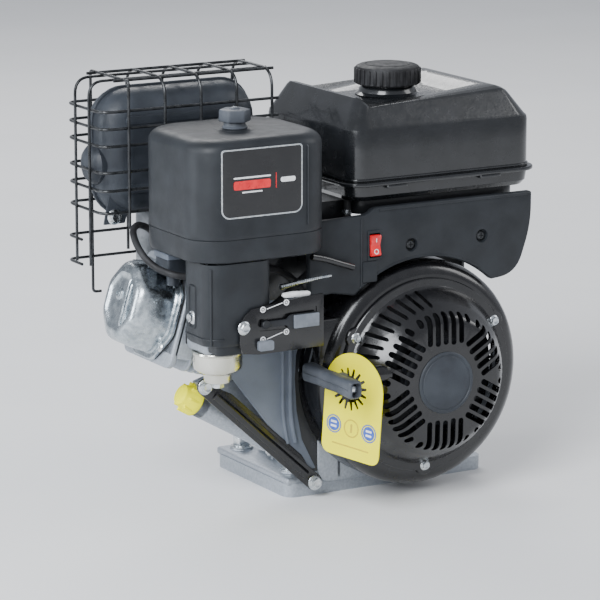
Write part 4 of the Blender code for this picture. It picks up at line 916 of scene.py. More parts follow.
def crankcase():
    """The die-cast case: end ring, side walls with ribs and bosses, and the slotted base plate."""
    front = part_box("crankcase")[0].y
    case_left, case_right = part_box("crankcase_cover")[0].x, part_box("crankcase_cover")[1].x
    shapes = []
    base_left, base_right, base_front, base_back = -0.125, 0.108, -0.045, 0.105
    base_middle = Vector(((base_left + base_right) / 2, (base_front + base_back) / 2, 0.007))
    base = plate(shifted(rounded((base_right - base_left) / 2, (base_back - base_front) / 2, 0.012, 6),
                         base_middle), 0.014, lying(0, 0, base_middle.z))
    holes = [drum((x, y, -0.01), (x, y, 0.03), 0.0055, 32) for x, y in STUDS]
    slot_low = block((case_left + 0.025, -0.01, -0.01), (case_right - 0.025, 0.095, 0.004), 0.004)
    shapes.append(soften(cut(base, *holes, slot_low), 0.0012, 2, 40))
    for x, y in STUDS:
        height = 0.0195 if x < 0 else 0.0138
        shapes.append(lathe([(0.012, 0.0018), (0.0126, 0.0), (0.0056, 0.0), (0.0056, 0.0018)], (x, y, height),
                            UP, 48))
    wall = 0.006
    outer = [(-0.094, 0.012), (0.09, 0.012), (0.09, 0.175), (0.066, 0.204), (-0.06, 0.204), (-0.094, 0.186)]
    skin = plate(eased(outer, 0.018, 6), CASE_JOINT - front, facing_front(0, (front + CASE_JOINT) / 2, 0),
                 0.0025, 3)
    inner = [(-0.086, 0.022), (0.082, 0.022), (0.082, 0.172), (0.062, 0.196), (-0.056, 0.196), (-0.086, 0.18)]
    room = plate(eased(inner, 0.016, 6), 0.0625 - (front + wall),
                 facing_front(0, (front + wall + 0.0625) / 2 + 0.0002, 0))
    bore_end = CYLINDER @ Vector((0, 0, 0.19))
    bore = drum(CYLINDER @ Vector((0, 0, 0.03)), bore_end, 0.0391, 64)
    shaft = drum((CRANK.x, front - 0.02, CRANK.z), (CRANK.x, front + 0.03, CRANK.z), 0.0222, 64)
    fill = drum((-0.0577, -0.015, 0.0154), (-0.2252, -0.015, 0.1121), 0.0102, 32)
    shapes.append(cut(skin, room, bore, shaft, fill))
    barrel = drum(CYLINDER @ Vector((0, 0, 0.066)), CYLINDER @ Vector((0, 0, 0.177)), 0.046, 72)
    shapes.append(cut(barrel, bore, room))
    for fin in range(8):
        height = 0.102 + 0.0092 * fin
        middle = CYLINDER @ lying(0, 0, height)
        one = plate(rounded(0.05, 0.05, 0.024, 8), 0.003, middle, 0.0009)
        shapes.append(cut(one, bore))
    deck = plate(rounded(0.05, 0.049, 0.016, 8), 0.008, CYLINDER @ lying(0, 0, 0.173), 0.0012)
    shapes.append(cut(deck, bore))
    root, mouth = Vector((-0.086, -0.015, 0.0317)), FILLER
    out = (mouth - root).normalized()
    neck = drum(root - out * 0.006, mouth, 0.0135, 48)
    flare = drum(root - out * 0.006, root + out * 0.03, 0.019, 48, 0.0137)
    collar = drum(mouth - out * 0.01, mouth, 0.0135, 48, 0.0135, 0.0006)
    for part in (neck, flare, collar):
        shapes.append(cut(part, fill, room))
    web = [(-0.092, 0.02), (-0.092, 0.07), (-0.112, 0.06), (-0.17, 0.084), (-0.176, 0.08), (-0.118, 0.036)]
    shapes.append(cut(plate(web, 0.006, facing_front(0, -0.015, 0), 0.001), fill))
    for x in (-0.0685, -0.03, 0.03, 0.066):
        bottom = 0.016 if abs(x) > 0.05 else 0.024
        shapes.append(block((x - 0.0025, front, bottom), (x + 0.0025, front + 0.01, 0.06), 0.001))
    under = [(-0.086, 0.106), (-0.182, 0.136), (-0.216, 0.126), (-0.204, 0.108), (-0.088, 0.042)]
    shapes.append(cut(plate(under, 0.008, facing_front(0, -0.017, 0), 0.0014), fill, bore, room))
    for y in (-0.022, 0.008, 0.038):
        shapes.append(block((0.088, y - 0.0022, 0.013), (0.0932, y + 0.0022, 0.16), 0.0012))
    for z in (0.06, 0.128):
        shapes.append(block((0.088, -0.022, z - 0.002), (0.0926, 0.038, z + 0.002), 0.0012))
    shapes.append(drum((0.088, 0.038, 0.094), (0.094, 0.038, 0.094), 0.0095, 40, ease=0.001))
    wing = block((base_left + 0.0006, base_front + 0.0008, 0.0125),
                 (case_left + 0.004, base_back - 0.0008, 0.02), 0.0024)
    shapes.append(cut(wing, *[drum((-0.105, y, -0.01), (-0.105, y, 0.03), 0.0055, 32)
                              for y in (-0.018, 0.085)]))
    for x, z in ((-0.08, 0.1), (-0.08, 0.15), (0.078, 0.06), (0.078, 0.15), (-0.045, 0.192), (0.045, 0.192)):
        shapes.append(drum((x, front + 0.0005, z), (x, front + 0.02, z), 0.0085, 32, ease=0.0008))
    hub = lathe([(0.0222, 0.0), (0.033, 0.0), (0.035, -0.0015), (0.038, -0.01), (0.0222, -0.01)],
                (CRANK.x, front, CRANK.z), FRONT, 72)
    shapes.append(hub)
    for y in (0.0, 0.032):
        shapes.append(block((-0.1, y - 0.0025, 0.013), (-0.09, y + 0.0025, 0.03), 0.001))
    drain = drum((-0.094, 0.035, 0.03), (-0.084, 0.035, 0.03), 0.014, 40, ease=0.0008)
    shapes.append(drain)
    piece("cast_crankcase", shapes, "cast_aluminium", node="crankcase")


def mounting_studs():
    """Four studs with nuts and washers in the base plate's holes."""
    shapes = []
    for x, y in STUDS:
        spot = Vector((x, y, 0.0214 if x < 0 else 0.0157))
        shapes.append(hoop(0.0042, 0.0088, 0.0, 0.0018, spot + UP * 0.0015, UP, 40))
        seat = spot + UP * 0.0032
        shapes.append(drum(seat, seat + UP * 0.0095, 0.0092, 6, ease=0.0006, spin=0.3))
        shapes.append(lathe([(0, 0.0108), (0.0058, 0.0108), (0.0074, 0.0092), (0.0074, 0.0), (0, 0.0)], seat,
                            UP, 40))
        shapes.append(drum(seat, seat + UP * 0.0165, 0.004, 28, ease=0.0006))
        shapes.append(lathe(disc_profile(0.0118, 0.0016, 0.0003), spot, UP, 40))
        shapes.append(drum((x, y, 0.0004), spot + UP * 0.006, 0.0038, 28))
    piece("mounting_studs", shapes, "bright_zinc")


def crankcase_cover():
    """The flange-side cover: rim bolts, ribs round the raised pad, and the pad's four tapped holes."""
    outer = [(-0.094, 0.016), (0.09, 0.016), (0.09, 0.175), (0.066, 0.204), (-0.06, 0.204), (-0.094, 0.186)]
    seat, face, pad_face = 0.0623, 0.0743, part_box("crankcase_cover")[1].y
    shell = plate(eased(outer, 0.018, 6), face - seat, facing_front(0, (seat + face) / 2, 0), 0.002, 3)
    pad = lathe([(0.0, pad_face), (0.0545, pad_face), (0.056, pad_face - 0.0015), (0.0562, 0.078),
                 (0.06, face - 0.001), (0.06, face - 0.004), (0.0, face - 0.004)], (CRANK.x, 0, CRANK.z),
                BACK, 96)
    holes = [drum((CRANK.x, seat - 0.01, CRANK.z), (CRANK.x, pad_face + 0.01, CRANK.z), 0.0192, 72)]
    for k in range(4):
        angle = radians(45 + 90 * k)
        x, z = CRANK.x + 0.046 * cos(angle), CRANK.z + 0.046 * sin(angle)
        holes.append(drum((x, pad_face - 0.015, z), (x, pad_face + 0.01, z), 0.004, 28))
    shapes = [cut(shell, holes[0]), cut(pad, *holes)]
    rim = [(-0.082, 0.03), (-0.082, 0.1), (-0.082, 0.176), (-0.04, 0.192), (0.04, 0.192), (0.079, 0.165),
           (0.079, 0.095), (0.079, 0.03), (0.0, 0.027)]
    bolts = []
    for x, z in rim:
        shapes.append(drum((x, face - 0.002, z), (x, face + 0.0016, z), 0.0078, 32, ease=0.0005))
        bolts += hex_bolt((x, face + 0.0016, z), BACK, 0.0085, 0.0068)
    for k in range(10):
        angle = TURN * (k + 0.5) / 10
        start = Vector((CRANK.x + 0.055 * cos(angle), 0, CRANK.z + 0.055 * sin(angle)))
        end = Vector((CRANK.x + 0.07 * cos(angle), 0, CRANK.z + 0.066 * sin(angle)))
        rib = plate(rounded((end - start).length / 2, 0.002, 0.001, 3), 0.0075,
                    facing_front(*((start + end) / 2 + BACK * (face + 0.001))) @ turned(angle), 0.0007)
        shapes.append(rib)
    piece("cast_cover", shapes, "cast_aluminium", node="crankcase_cover")
    piece("case_bolts", bolts, "bright_zinc")
    seal = lathe([(0.0131, 0.0), (0.0131, 0.0062), (0.015, 0.0068), (0.0165, 0.004), (0.019, 0.006),
                  (0.019, 0.0)], (CRANK.x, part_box("oil_seal")[0].y, CRANK.z), BACK, 72)
    piece("lip_seal", [seal], "black_rubber", node="oil_seal")


def crankshaft():
    """One forging: threaded end, taper, journals, two shaped webs, pin, gear and the keyed output shaft."""
    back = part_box("crankshaft")[1].y
    axis = Vector((CRANK.x, 0, CRANK.z))
    front = [(0, 0.104), (0.0068, 0.104), (0.0078, 0.103), (0.0078, 0.0835), (0.0088, 0.083), (0.0122, 0.053),
             (0.0124, 0.052), (0.0124, 0.0202), (0, 0.0202)]
    shapes = [lathe(front, axis, FRONT, 64)]
    thread = [axis + Vector((0.0076 * cos(k * 0.4), -0.085 - 0.00125 * k * 0.4 / TURN,
                             0.0076 * sin(k * 0.4))) for k in range(220)]
    shapes.append(tube(thread, 0.00045, 6))
    rear = [(0, back), (0.0119, back), (0.0127, back - 0.0008), (0.0127, 0.088), (0.013, 0.0878),
            (0.013, 0.069), (0.014, 0.0685), (0.014, 0.0232), (0, 0.0232)]
    shaft = lathe(rear, axis, BACK, 64)
    keyway = block((-0.003, 0.104, CRANK.z + 0.0092), (0.003, back + 0.01, CRANK.z + 0.02))
    tapped = drum((CRANK.x, back - 0.03, CRANK.z), (CRANK.x, back + 0.01, CRANK.z), 0.004, 32)
    shapes.append(cut(shaft, keyway, tapped))
    throw = CYLINDER.to_3x3() @ Vector((0, 0, 0.031))
    for near, far in ((-0.02, -0.009), (0.012, 0.023)):
        outline = []
        for k in range(49):
            angle = radians(25 + 310 * k / 48)
            reach = 0.0455 if 62 < 25 + 310 * k / 48 < 298 else 0.03
            outline.append((reach * cos(angle), reach * sin(angle)))
        outline += [(0.031 + 0.0165 * cos(radians(a)), 0.0165 * sin(radians(a))) for a in range(-60, 61, 15)]
        tilt = atan2(throw.z, throw.x)
        shapes.append(plate(outline, far - near,
                            facing_front(axis.x, (near + far) / 2, axis.z) @ turned(tilt), 0.0012))
    pin = axis + throw
    shapes.append(drum((pin.x, -0.0095, pin.z), (pin.x, 0.0125, pin.z), 0.015, 56))
    teeth = []
    for k in range(24 * 4):
        angle = TURN * k / 96
        reach = (0.0225, 0.0248, 0.0248, 0.0225)[k % 4]
        teeth.append((reach * cos(angle), reach * sin(angle)))
    shapes.append(plate(teeth, 0.0118, facing_front(axis.x, 0.032, axis.z), 0.0003, 1))
    piece("forged_crankshaft", shapes, "machined_steel", "crankshaft", "crankshaft")
    key_low, key_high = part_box("shaft_key")
    key = block(key_low, key_high, 0.0004, 2)
    piece("square_key", [key], "machined_steel", "crankshaft", "shaft_key")


# The starter side


def blower_housing():
    """The sheet housing: rounded front edge, chamfer, inlet and the outlet towards the cylinder."""
    low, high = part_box("blower_housing")
    radius, front, back = (high.z - low.z) / 2, low.y, high.y
    steps = 144
    skin = [(0.0865, -front), (0.101, -front), (0.105, -front - 0.0006), (0.11, -front - 0.0042),
            (0.1135, -front - 0.0095), (radius, -front - 0.016), (radius, -back), (radius - 0.002, -back),
            (radius - 0.002, -front - 0.0165), (0.1118, -front - 0.0108), (0.1085, -front - 0.0062),
            (0.104, -front - 0.0026), (0.101, -front - 0.002), (0.0865, -front - 0.002)]
    shell = lathe(skin, CRANK, FRONT, steps)
    outlet = block((-0.13, -0.09, CRANK.z + 0.006), (-0.08, back + 0.01, CRANK.z + 0.064), 0.004)
    shapes = [cut(shell, outlet)]
    duct_low, duct_high = low.x, -0.088
    shapes.append(block((-0.099, -0.088, CRANK.z + 0.004), (-0.0975, back, CRANK.z + 0.066)))
    for edge in (CRANK.z + 0.005, CRANK.z + 0.065):
        shapes.append(block((duct_low, -0.091, edge - 0.001), (duct_high, back, edge + 0.001), 0.0006, 2))
    shapes.append(block((duct_low, -0.091, CRANK.z + 0.005), (duct_high, -0.089, CRANK.z + 0.065), 0.0006, 2))
    shapes.append(hoop(radius - 0.003, radius, 0.0, 0.0016, CRANK + BACK * back, FRONT, steps))
    piece("blower_shell", shapes, "black_gloss_paint", node="blower_housing")
    bolts = []
    for angle in (150, 270, 30):
        x = CRANK.x + 0.093 * cos(radians(angle))
        z = CRANK.z + 0.093 * sin(radians(angle))
        bolts += hex_bolt((x, -0.1036, z), FRONT, 0.0068, 0.0056)
    piece("starter_bolts", bolts, "bright_zinc")


def recoil_cover():
    """The starter's domed cover: groups of parallel slots, outer slots, cap disc and rope eyelet."""
    rim_back = 0.1006
    outside = [(0.098, rim_back), (0.098, 0.103), (0.0972, 0.104), (0.0905, 0.1044), (0.0885, 0.1062),
               (0.0872, 0.109), (0.0782, 0.124), (0.076, 0.1268), (0.0728, 0.1302), (0.069, 0.1352),
               (0.0668, 0.1382), (0.064, 0.14), (0.06, 0.1412), (0.032, 0.142), (0.0, 0.142)]
    inside = [(0.0, 0.1396), (0.059, 0.139), (0.0628, 0.1378), (0.065, 0.136), (0.0705, 0.129),
              (0.0742, 0.1252), (0.085, 0.108), (0.087, 0.104), (0.088, rim_back)]
    dome = lathe(outside + inside, CRANK, FRONT, 120)
    cutters = []
    for group in range(6):
        turn = radians(90 + 60 * group)
        for k in range(-3, 4):
            off = 0.0091 * k
            start = max(sqrt(max(0.0385**2 - off**2, 0)), abs(off) / tan(radians(25.5)))
            end = sqrt(0.0705**2 - off**2)
            if end - start < 0.006:
                continue
            radial, across = Vector((cos(turn), 0, sin(turn))), Vector((-sin(turn), 0, cos(turn)))
            middle = CRANK + radial * (start + end) / 2 + across * off + FRONT * 0.133
            slot = plate(rounded((end - start) / 2, 0.0029, 0.0026, 4), 0.03,
                         facing_front(*middle) @ turned(turn))
            cutters.append(slot)
    for first, count in ((98, 9), (312, 5)):
        for k in range(count):
            turn = radians(first + 7.5 * k)
            middle = CRANK + Vector((0.0815 * cos(turn), -0.116, 0.0815 * sin(turn)))
            place = facing_front(*middle) @ turned(turn + 0.35)
            cutters.append(plate(rounded(0.0075, 0.0019, 0.0018, 3), 0.03, place))
    shapes = [cut(dome, *cutters)]
    disc = [(0, 0.1434), (0.0262, 0.1434), (0.0268, 0.1429), (0.028, 0.1429), (0.0286, 0.1435),
            (0.0304, 0.1435), (0.0312, 0.1428), (0.0312, 0.1405), (0, 0.1405)]
    shapes.append(painted(lathe(disc, CRANK, FRONT, 96), "heat_resisting_paint"))
    ear_back, ear_front = 0.1006, 0.1032
    for angle in (150, 270, 30):
        turn = radians(angle)
        spot = CRANK + Vector((0.0925 * cos(turn), 0, 0.0925 * sin(turn)))
        shapes.append(lathe(disc_profile(0.0105, ear_front + 0.0005 - ear_back), spot + FRONT * ear_back,
                            FRONT, 40))
    sleeve = lathe([(0.003, 0.0), (0.0085, 0.0), (0.0085, 0.02), (0.0075, 0.025), (0.0045, 0.0255),
                    (0.003, 0.0245)], (-0.0605, -0.131, 0.14), LEFT, 48)
    shapes.append(sleeve)
    piece("starter_cover", shapes, "black_gloss_paint", node="recoil_cover", angle=38)


def starter_handle():
    """The pull grip: a lofted bar with recessed dark ends, a rivet, and a stepped neck for the rope."""
    low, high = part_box("starter_handle")
    centre = Vector((-0.1245, (low.y + high.y) / 2, 0.14))
    length = high.y - low.y
    levels = [(-0.5, 0.003), (-0.49, 0.0012), (-0.46, 0.0), (-0.3, 0.0004), (-0.15, 0.0008), (0.0, 0.0004),
              (0.15, 0.0008), (0.3, 0.0004), (0.46, 0.0), (0.49, 0.0012), (0.5, 0.003)]
    half_x, half_z = 0.0075, 0.0092
    place = facing_front(*centre)
    bar = loft([rounded(half_x - inset, half_z - inset, 0.0044, 6, t * length) for t, inset in levels], place)
    pockets = [block(centre + Vector((-0.005, side * (length / 2 - 0.0035) - 0.005, -0.0072)),
                     centre + Vector((0.005, side * (length / 2 - 0.0035) + 0.005, 0.0072)), 0.003)
               for side in (-1, 1)]
    shapes = [cut(bar, *pockets)]
    for side in (-1, 1):
        floor = centre + BACK * side * (length / 2 - 0.0084)
        shapes.append(painted(block(floor - Vector((0.005, 0.0008, 0.0072)),
                                    floor + Vector((0.005, 0.0008, 0.0072)), 0.0004, 1), "dark_plastic"))
        rivet = lathe([(0, 0.0046), (0.0018, 0.0044), (0.0034, 0.0034), (0.0042, 0.0016), (0.0042, 0.0),
                       (0, 0.0)], floor, BACK * side, 32)
        shapes.append(painted(rivet, "bright_zinc"))
    neck = lathe([(0.007, -0.004), (0.007, 0.006), (0.0066, 0.009), (0.0068, 0.012), (0.006, 0.0148),
                  (0.0046, 0.0154), (0.0024, 0.0154), (0.0024, -0.004)], (-0.1235, -0.131, 0.14), RIGHT, 40)
    shapes.append(neck)
    for side in (-1, 1):
        seam = [centre + Vector((side * half_x, t * length, 0)) for t in (-0.46, 0.46)]
        shapes.append(tube(seam, 0.0005, 6))
    piece("pull_grip", shapes, "grip_plastic", "starter_handle", "starter_handle")


def starter_rope():
    """The rope from the pulley out through the eyelet to the grip."""
    low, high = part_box("starter_rope")
    y, z = (low.y + high.y) / 2, (low.z + high.z) / 2
    route = [(low.x + (high.x - low.x) * k / 60, y, z) for k in range(61)]
    core = tube(route, 0.0017, 14)
    strands = []
    for strand in range(3):
        twisted = []
        for k in range(181):
            angle = TURN * (k / 11 + strand / 3)
            twisted.append((low.x + (high.x - low.x) * k / 180, y + 0.001 * cos(angle),
                            z + 0.001 * sin(angle)))
        strands.append(tube(twisted, 0.0011, 8))
    return core, strands


def hang_tag():
    """The yellow tag on the grip: round top, a hole with a ring of slits, and plain round printed marks."""
    hole = Vector((-0.104, -0.131, 0.129))
    turn = Matrix.Translation(hole) @ turned(radians(-70)) @ turned(pi / 2, "X")
    turn = turn @ turned(radians(-4.5))
    half, top, foot = 0.036, 0.001, -0.07
    shift = 0.0055
    outline = [(shift + half * cos(radians(a)), top + half * sin(radians(a))) for a in range(0, 181, 6)]
    corners = [(shift - half, foot, 0), (shift + half, foot, 0)]
    outline += [(p.x, p.y) for p in bent([(shift - half, top, 0), *corners, (shift + half, top, 0)], 0.011,
                                         6)[1:-1]]
    sheet = plate(outline, 0.001, turn)
    cutters = [plate(arc(0.0135, 0, 345, 24), 0.004, turn)]
    for k in range(16):
        angle = TURN * (k + 0.5) / 16
        slit = plate([(-0.004, -0.0021), (0.0062, -0.0012), (0.0062, 0.0012), (-0.004, 0.0021)], 0.004,
                     turn @ turned(angle) @ lying(0.0152, 0, 0))
        cutters.append(slit)
    shapes = [cut(sheet, *cutters)]
    face = turn @ lying(0, 0, 0.00055)
    for x, finish in ((-0.0165, "blue_print"), (0.0055, "ochre_print"), (0.0275, "blue_print")):
        spot = face @ lying(x, -0.039, 0)
        ring = hoop(0.008, 0.0092, 0.0, 0.0002, steps=48)
        ring.matrix_world = spot
        shapes.append(painted(ring, finish))
        if finish == "blue_print":
            disc = lathe(disc_profile(0.007, 0.0002, 0.00005), steps=48)
            disc.matrix_world = spot
            shapes.append(painted(disc, finish))
            for row in (-0.0022, 0.0022):
                shapes.append(painted(plate(rounded(0.0036, 0.0011, 0.0006, 3), 0.0002,
                                            spot @ lying(0, row, 0.0002)), "white_print"))
        else:
            shapes.append(painted(plate(rounded(0.0012, 0.0045, 0.0008, 3), 0.0002, spot), finish))
    line = plate(rounded(0.023, 0.0007, 0.0004, 3), 0.0002, face @ lying(0.0055, -0.058, 0))
    shapes.append(painted(line, "ochre_print"))
    piece("warning_tag", shapes, "tag_yellow", "starter_handle", "hang_tag")


# The upper side


def spaced(loops):
    """A loft whose last loop is closed by a fan, so that a curved top keeps its shape."""
    built = bmesh.new()
    rings = [[built.verts.new(point) for point in loop] for loop in loops]
    for one, two in zip(rings, rings[1:]):
        for k in range(len(one)):
            after = (k + 1) % len(one)
            built.faces.new((one[k], one[after], two[after], two[k]))
    built.faces.new(rings[0])
    middle = sum((vert.co for vert in rings[-1]), Vector()) / len(rings[-1])
    centre = built.verts.new(middle)
    for k, vert in enumerate(rings[-1]):
        built.faces.new((vert, rings[-1][(k + 1) % len(rings[-1])], centre))
    return solid(built)


def fuel_tank():
    """The tank: two halves on a rolled flange, faceted shoulders, and a sunk top round the filler neck."""
    low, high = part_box("fuel_tank")
    left, right, front, back = low.x + 0.006, high.x - 0.006, low.y + 0.006, high.y - 0.006
    middle = Vector(((left + right) / 2, (front + back) / 2, 0))
    half_x, half_y = (right - left) / 2, (back - front) / 2
    cap_low, cap_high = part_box("fuel_cap")
    cap = centred(cap_low, cap_high, 0)
    foot, shoulder, roof = 0.302, 0.372, 0.4045

    def step(value, start, end):
        share = min(max((value - start) / (end - start), 0), 1)
        return share * share * (3 - 2 * share)

    def top_height(x):
        sunk = step(x, left + 0.018, left + 0.036) * (1 - step(x, right - 0.062, right - 0.044))
        rise = 0.003 * step(x, left + 0.04, right - 0.06)
        fall = 0.011 * step(x, right - 0.04, right + 0.004)
        return roof - sunk * (0.0135 - rise) - fall

    def outline(inset, radius, height):
        return shifted(rounded(half_x - inset, half_y - inset, radius, 10), middle, height)

    loops = [outline(inset, 0.018, height)
             for inset, height in ((0.012, foot), (0.004, foot + 0.0015), (0.001, foot + 0.006), (0.0, 0.317),
                                   (0.0, 0.35), (0.0, shoulder - 0.002))]
    for inset, share in ((0.0008, 0.06), (0.0026, 0.14), (0.015, 0.84), (0.0175, 0.94), (0.0215, 0.99),
                         (0.026, 1.0)):
        ring = outline(inset, 0.0175 - inset * 0.3, 0)
        loops.append([(x, y, shoulder + (top_height(x) - shoulder) * share) for x, y, _ in ring])
    for inset in (0.031, 0.037, 0.043, 0.049, 0.055, 0.061, 0.067, 0.073, 0.079):
        loops.append([(x, y, top_height(x)) for x, y, _ in outline(inset, 0.01, 0)])
    body = spaced(loops)
    opening = drum((cap.x, cap.y, 0.36), (cap.x, cap.y, 0.43), 0.0215, 64)
    inner = loft([outline(0.002 + inset, 0.016, height)
                  for inset, height in ((0.01, foot + 0.002), (0.001, foot + 0.008), (0.0005, 0.368),
                                        (0.016, 0.384), (0.03, 0.386))])
    shapes = [cut(body, inner, opening)]
    inner_loop = rounded(half_x - 0.0006, half_y - 0.0006, 0.0175, 10)
    flange = plate(rounded(half_x + 0.006, half_y + 0.006, 0.023, 10), 0.004,
                   lying(middle.x, middle.y, 0.3205), 0.0014, 3)
    shapes.append(cut(flange, plate(inner_loop, 0.02, lying(middle.x, middle.y, 0.3205))))
    bead = plate(rounded(half_x + 0.0014, half_y + 0.0014, 0.019, 10), 0.0024,
                 lying(middle.x, middle.y, 0.3245), 0.0008)
    shapes.append(cut(bead, plate(inner_loop, 0.02, lying(middle.x, middle.y, 0.3245))))
    floor = top_height(cap.x)
    neck = lathe([(0.0215, 0.384), (0.033, floor - 0.0004), (0.0298, floor + 0.002), (0.0285, floor + 0.005),
                  (0.0265, floor + 0.008), (0.0265, 0.4082), (0.0258, 0.4096), (0.0225, 0.4096),
                  (0.0215, 0.4085)], cap, UP, 96)
    shapes.append(neck)
    for x in (low.x + 0.055, high.x - 0.06):
        shapes.append(plate(rounded(0.013, 0.007, 0.004, 4), 0.003, lying(x, low.y + 0.0068, 0.3172), 0.0008))
    shapes.append(drum((-0.052, -0.058, foot + 0.001), (-0.052, -0.058, foot + 0.006), 0.01, 32))
    piece("fuel_tank_shell", shapes, "tank_gloss_paint", node="fuel_tank", angle=24)
    tray_outer = rounded(half_x - 0.012, half_y - 0.012, 0.016, 8)
    tray_inner = rounded(half_x - 0.02, half_y - 0.02, 0.012, 8)
    tray_place = lying(middle.x + 0.002, middle.y + 0.003, 0.2945)
    tray = cut(plate(tray_outer, 0.0145, tray_place, 0.0015), plate(tray_inner, 0.04, tray_place))
    piece("tank_cradle", [tray], "black_satin_paint")


def fuel_cap():
    low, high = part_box("fuel_cap")
    centre = centred(low, high, 0)
    foot, top, radius = low.z, high.z, (high.x - low.x) / 2
    inner_foot = 0.4101
    skirt = [(0, top), (0.018, top), (0.024, top - 0.0005), (0.029, top - 0.0012), (0.0315, top - 0.0024),
             (0.0325, top - 0.0046), (0.0326, foot + 0.003), (0.033, foot + 0.001), (0.0322, foot),
             (0.028, foot), (0.0276, inner_foot), (0, inner_foot)]
    shapes = [lathe(skirt, centre, UP, 120)]
    count = 30
    for k in range(count):
        angle = TURN * k / count
        turn = Matrix.Translation(centre) @ turned(angle)
        rib = block((radius - 0.0024, -0.0018, foot + 0.0008), (radius, 0.0018, top - 0.004), 0.001, 2)
        rib.matrix_world = turn @ rib.matrix_world
        shapes.append(rib)
    ring = lathe([(0.0205, top - 0.0006), (0.0215, top), (0.0228, top), (0.0236, top - 0.0009)], centre, UP,
                 96)
    shapes.append(ring)
    vent = lathe(disc_profile(0.0045, 0.0006, 0.0003), centre + UP * (top - 0.0007), UP, 32)
    shapes.append(vent)
    piece("fuel_cap_knurled", shapes, "black_rubber", "fuel_cap", "fuel_cap")


def tank_bracket():
    """The folded bracket that holds the tank over the crankcase."""
    low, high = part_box("tank_bracket")
    floor = plate(shifted(rounded((high.x - low.x) / 2, (high.y - low.y) / 2, 0.004, 3), (low + high) / 2),
                  0.004, lying(0, 0, low.z + 0.0021), 0.001)
    roof = plate(shifted(rounded((high.x - low.x) / 2, (high.y - low.y) / 2, 0.004, 3), (low + high) / 2),
                 0.003, lying(0, 0, high.z - 0.0018), 0.001)
    shapes = [floor, roof]
    for x in (low.x + 0.002, high.x - 0.002):
        side = plate([(low.y + 0.0005, low.z + 0.001), (high.y - 0.0005, low.z + 0.001),
                      (high.y - 0.0005, high.z - 0.001), (low.y + 0.0005, high.z - 0.001)], 0.0035,
                     Matrix.Translation((x, 0, 0)) @ turned(pi / 2) @ turned(pi / 2, "X"), 0.001)
        hole = plate(rounded(0.026, 0.026, 0.012, 6), 0.02,
                     Matrix.Translation((x, (low.y + high.y) / 2,
                                         (low.z + high.z) / 2)) @ turned(pi / 2, "Y"))
        shapes.append(cut(side, hole))
    for x in (low.x + 0.02, high.x - 0.02):
        for y in (low.y + 0.016, high.y - 0.016):
            shapes += [painted(bolt, "bright_zinc")
                       for bolt in hex_bolt((x, y, low.z + 0.004), UP, 0.0085, 0.0072)]
    piece("folded_bracket", shapes, "black_satin_paint", node="tank_bracket")


def front_panel():
    """The panel between tank and starter: curved lower edge, two screw wells and the switch boss."""
    low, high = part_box("front_panel")
    front, back = low.y, high.y
    left_part = [(-0.131, 0.2165), (-0.131, 0.2655), (-0.119, 0.2655), (-0.119, 0.2915), (-0.07, 0.2925),
                 (-0.064, 0.294), (-0.059, 0.2978), (-0.054, 0.299)]
    corner = bent([(0.127, 0.299, 0), (0.127, 0.265, 0), (0.11, 0.216, 0), (0.08, 0.213, 0)], 0.02, 8)
    sweep = arc(0.1188, 51, 132, 40, (CRANK.x, CRANK.z))
    outline = left_part + [(p.x, p.y) for p in corner] + sweep + [(-0.105, 0.218)]
    body = plate(outline, back - front - 0.001, facing_front(0, (front + back) / 2, 0), 0.0022, 3)
    screw_places = ((-0.015, 0.258), (0.0675, 0.2588))
    wells = [drum((x, front - 0.01, z), (x, front + 0.0045, z), 0.0084, 48, 0.0062) for x, z in screw_places]
    switch_low, switch_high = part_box("engine_switch")
    slack = Vector((0.0006, 0, 0.0016))
    room = block(switch_low - slack + FRONT * 0.02,
                 Vector((switch_high.x, front + 0.009, switch_high.z)) + slack)
    shapes = [cut(body, *wells, room)]
    bezel = plate(shifted(rounded(0.008, 0.0152, 0.002, 4), Vector((-0.058, 0.262))), 0.003,
                  facing_front(0, front + 0.0008, 0), 0.0008)
    shapes.append(cut(bezel, block(switch_low - slack + FRONT * 0.02, switch_high + slack + BACK * 0.02)))
    boss = shifted(rounded(0.0082, 0.0105, 0.0015, 4), Vector((-0.0635, 0.236)))
    shapes.append(plate(boss, 0.003, facing_front(0, front + 0.0002, 0), 0.0009))
    shapes.append(tube([(-0.052, front + 0.001, 0.2962), (0.122, front + 0.001, 0.2962)], 0.0013, 12))
    lower = [(x, front + 0.0009, z) for x, z in arc(0.1208, 128, 58, 40, (CRANK.x, CRANK.z))]
    shapes.append(tube(lower, 0.0013, 10))
    edge = [(-0.0725, front + 0.0007, 0.2225), (-0.0725, front + 0.0007, 0.29)]
    shapes.append(tube(edge, 0.0013, 12))
    piece("panel_moulding", shapes, "charcoal_plastic", node="front_panel")
    screws = []
    for x, z in screw_places:
        seat = Vector((x, front + 0.0045, z))
        head = lathe([(0, 0.0026), (0.0034, 0.0024), (0.005, 0.0012), (0.0053, 0.0002), (0, 0.0002)], seat,
                     FRONT, 32)
        cross = [block(seat + Vector((-0.0026, -0.004, -0.0005)), seat + Vector((0.0026, -0.0012, 0.0005))),
                 block(seat + Vector((-0.0005, -0.004, -0.0026)), seat + Vector((0.0005, -0.0012, 0.0026)))]
        screws.append(cut(head, *cross))
    piece("panel_screws", screws, "black_coat_and_painted_shade")


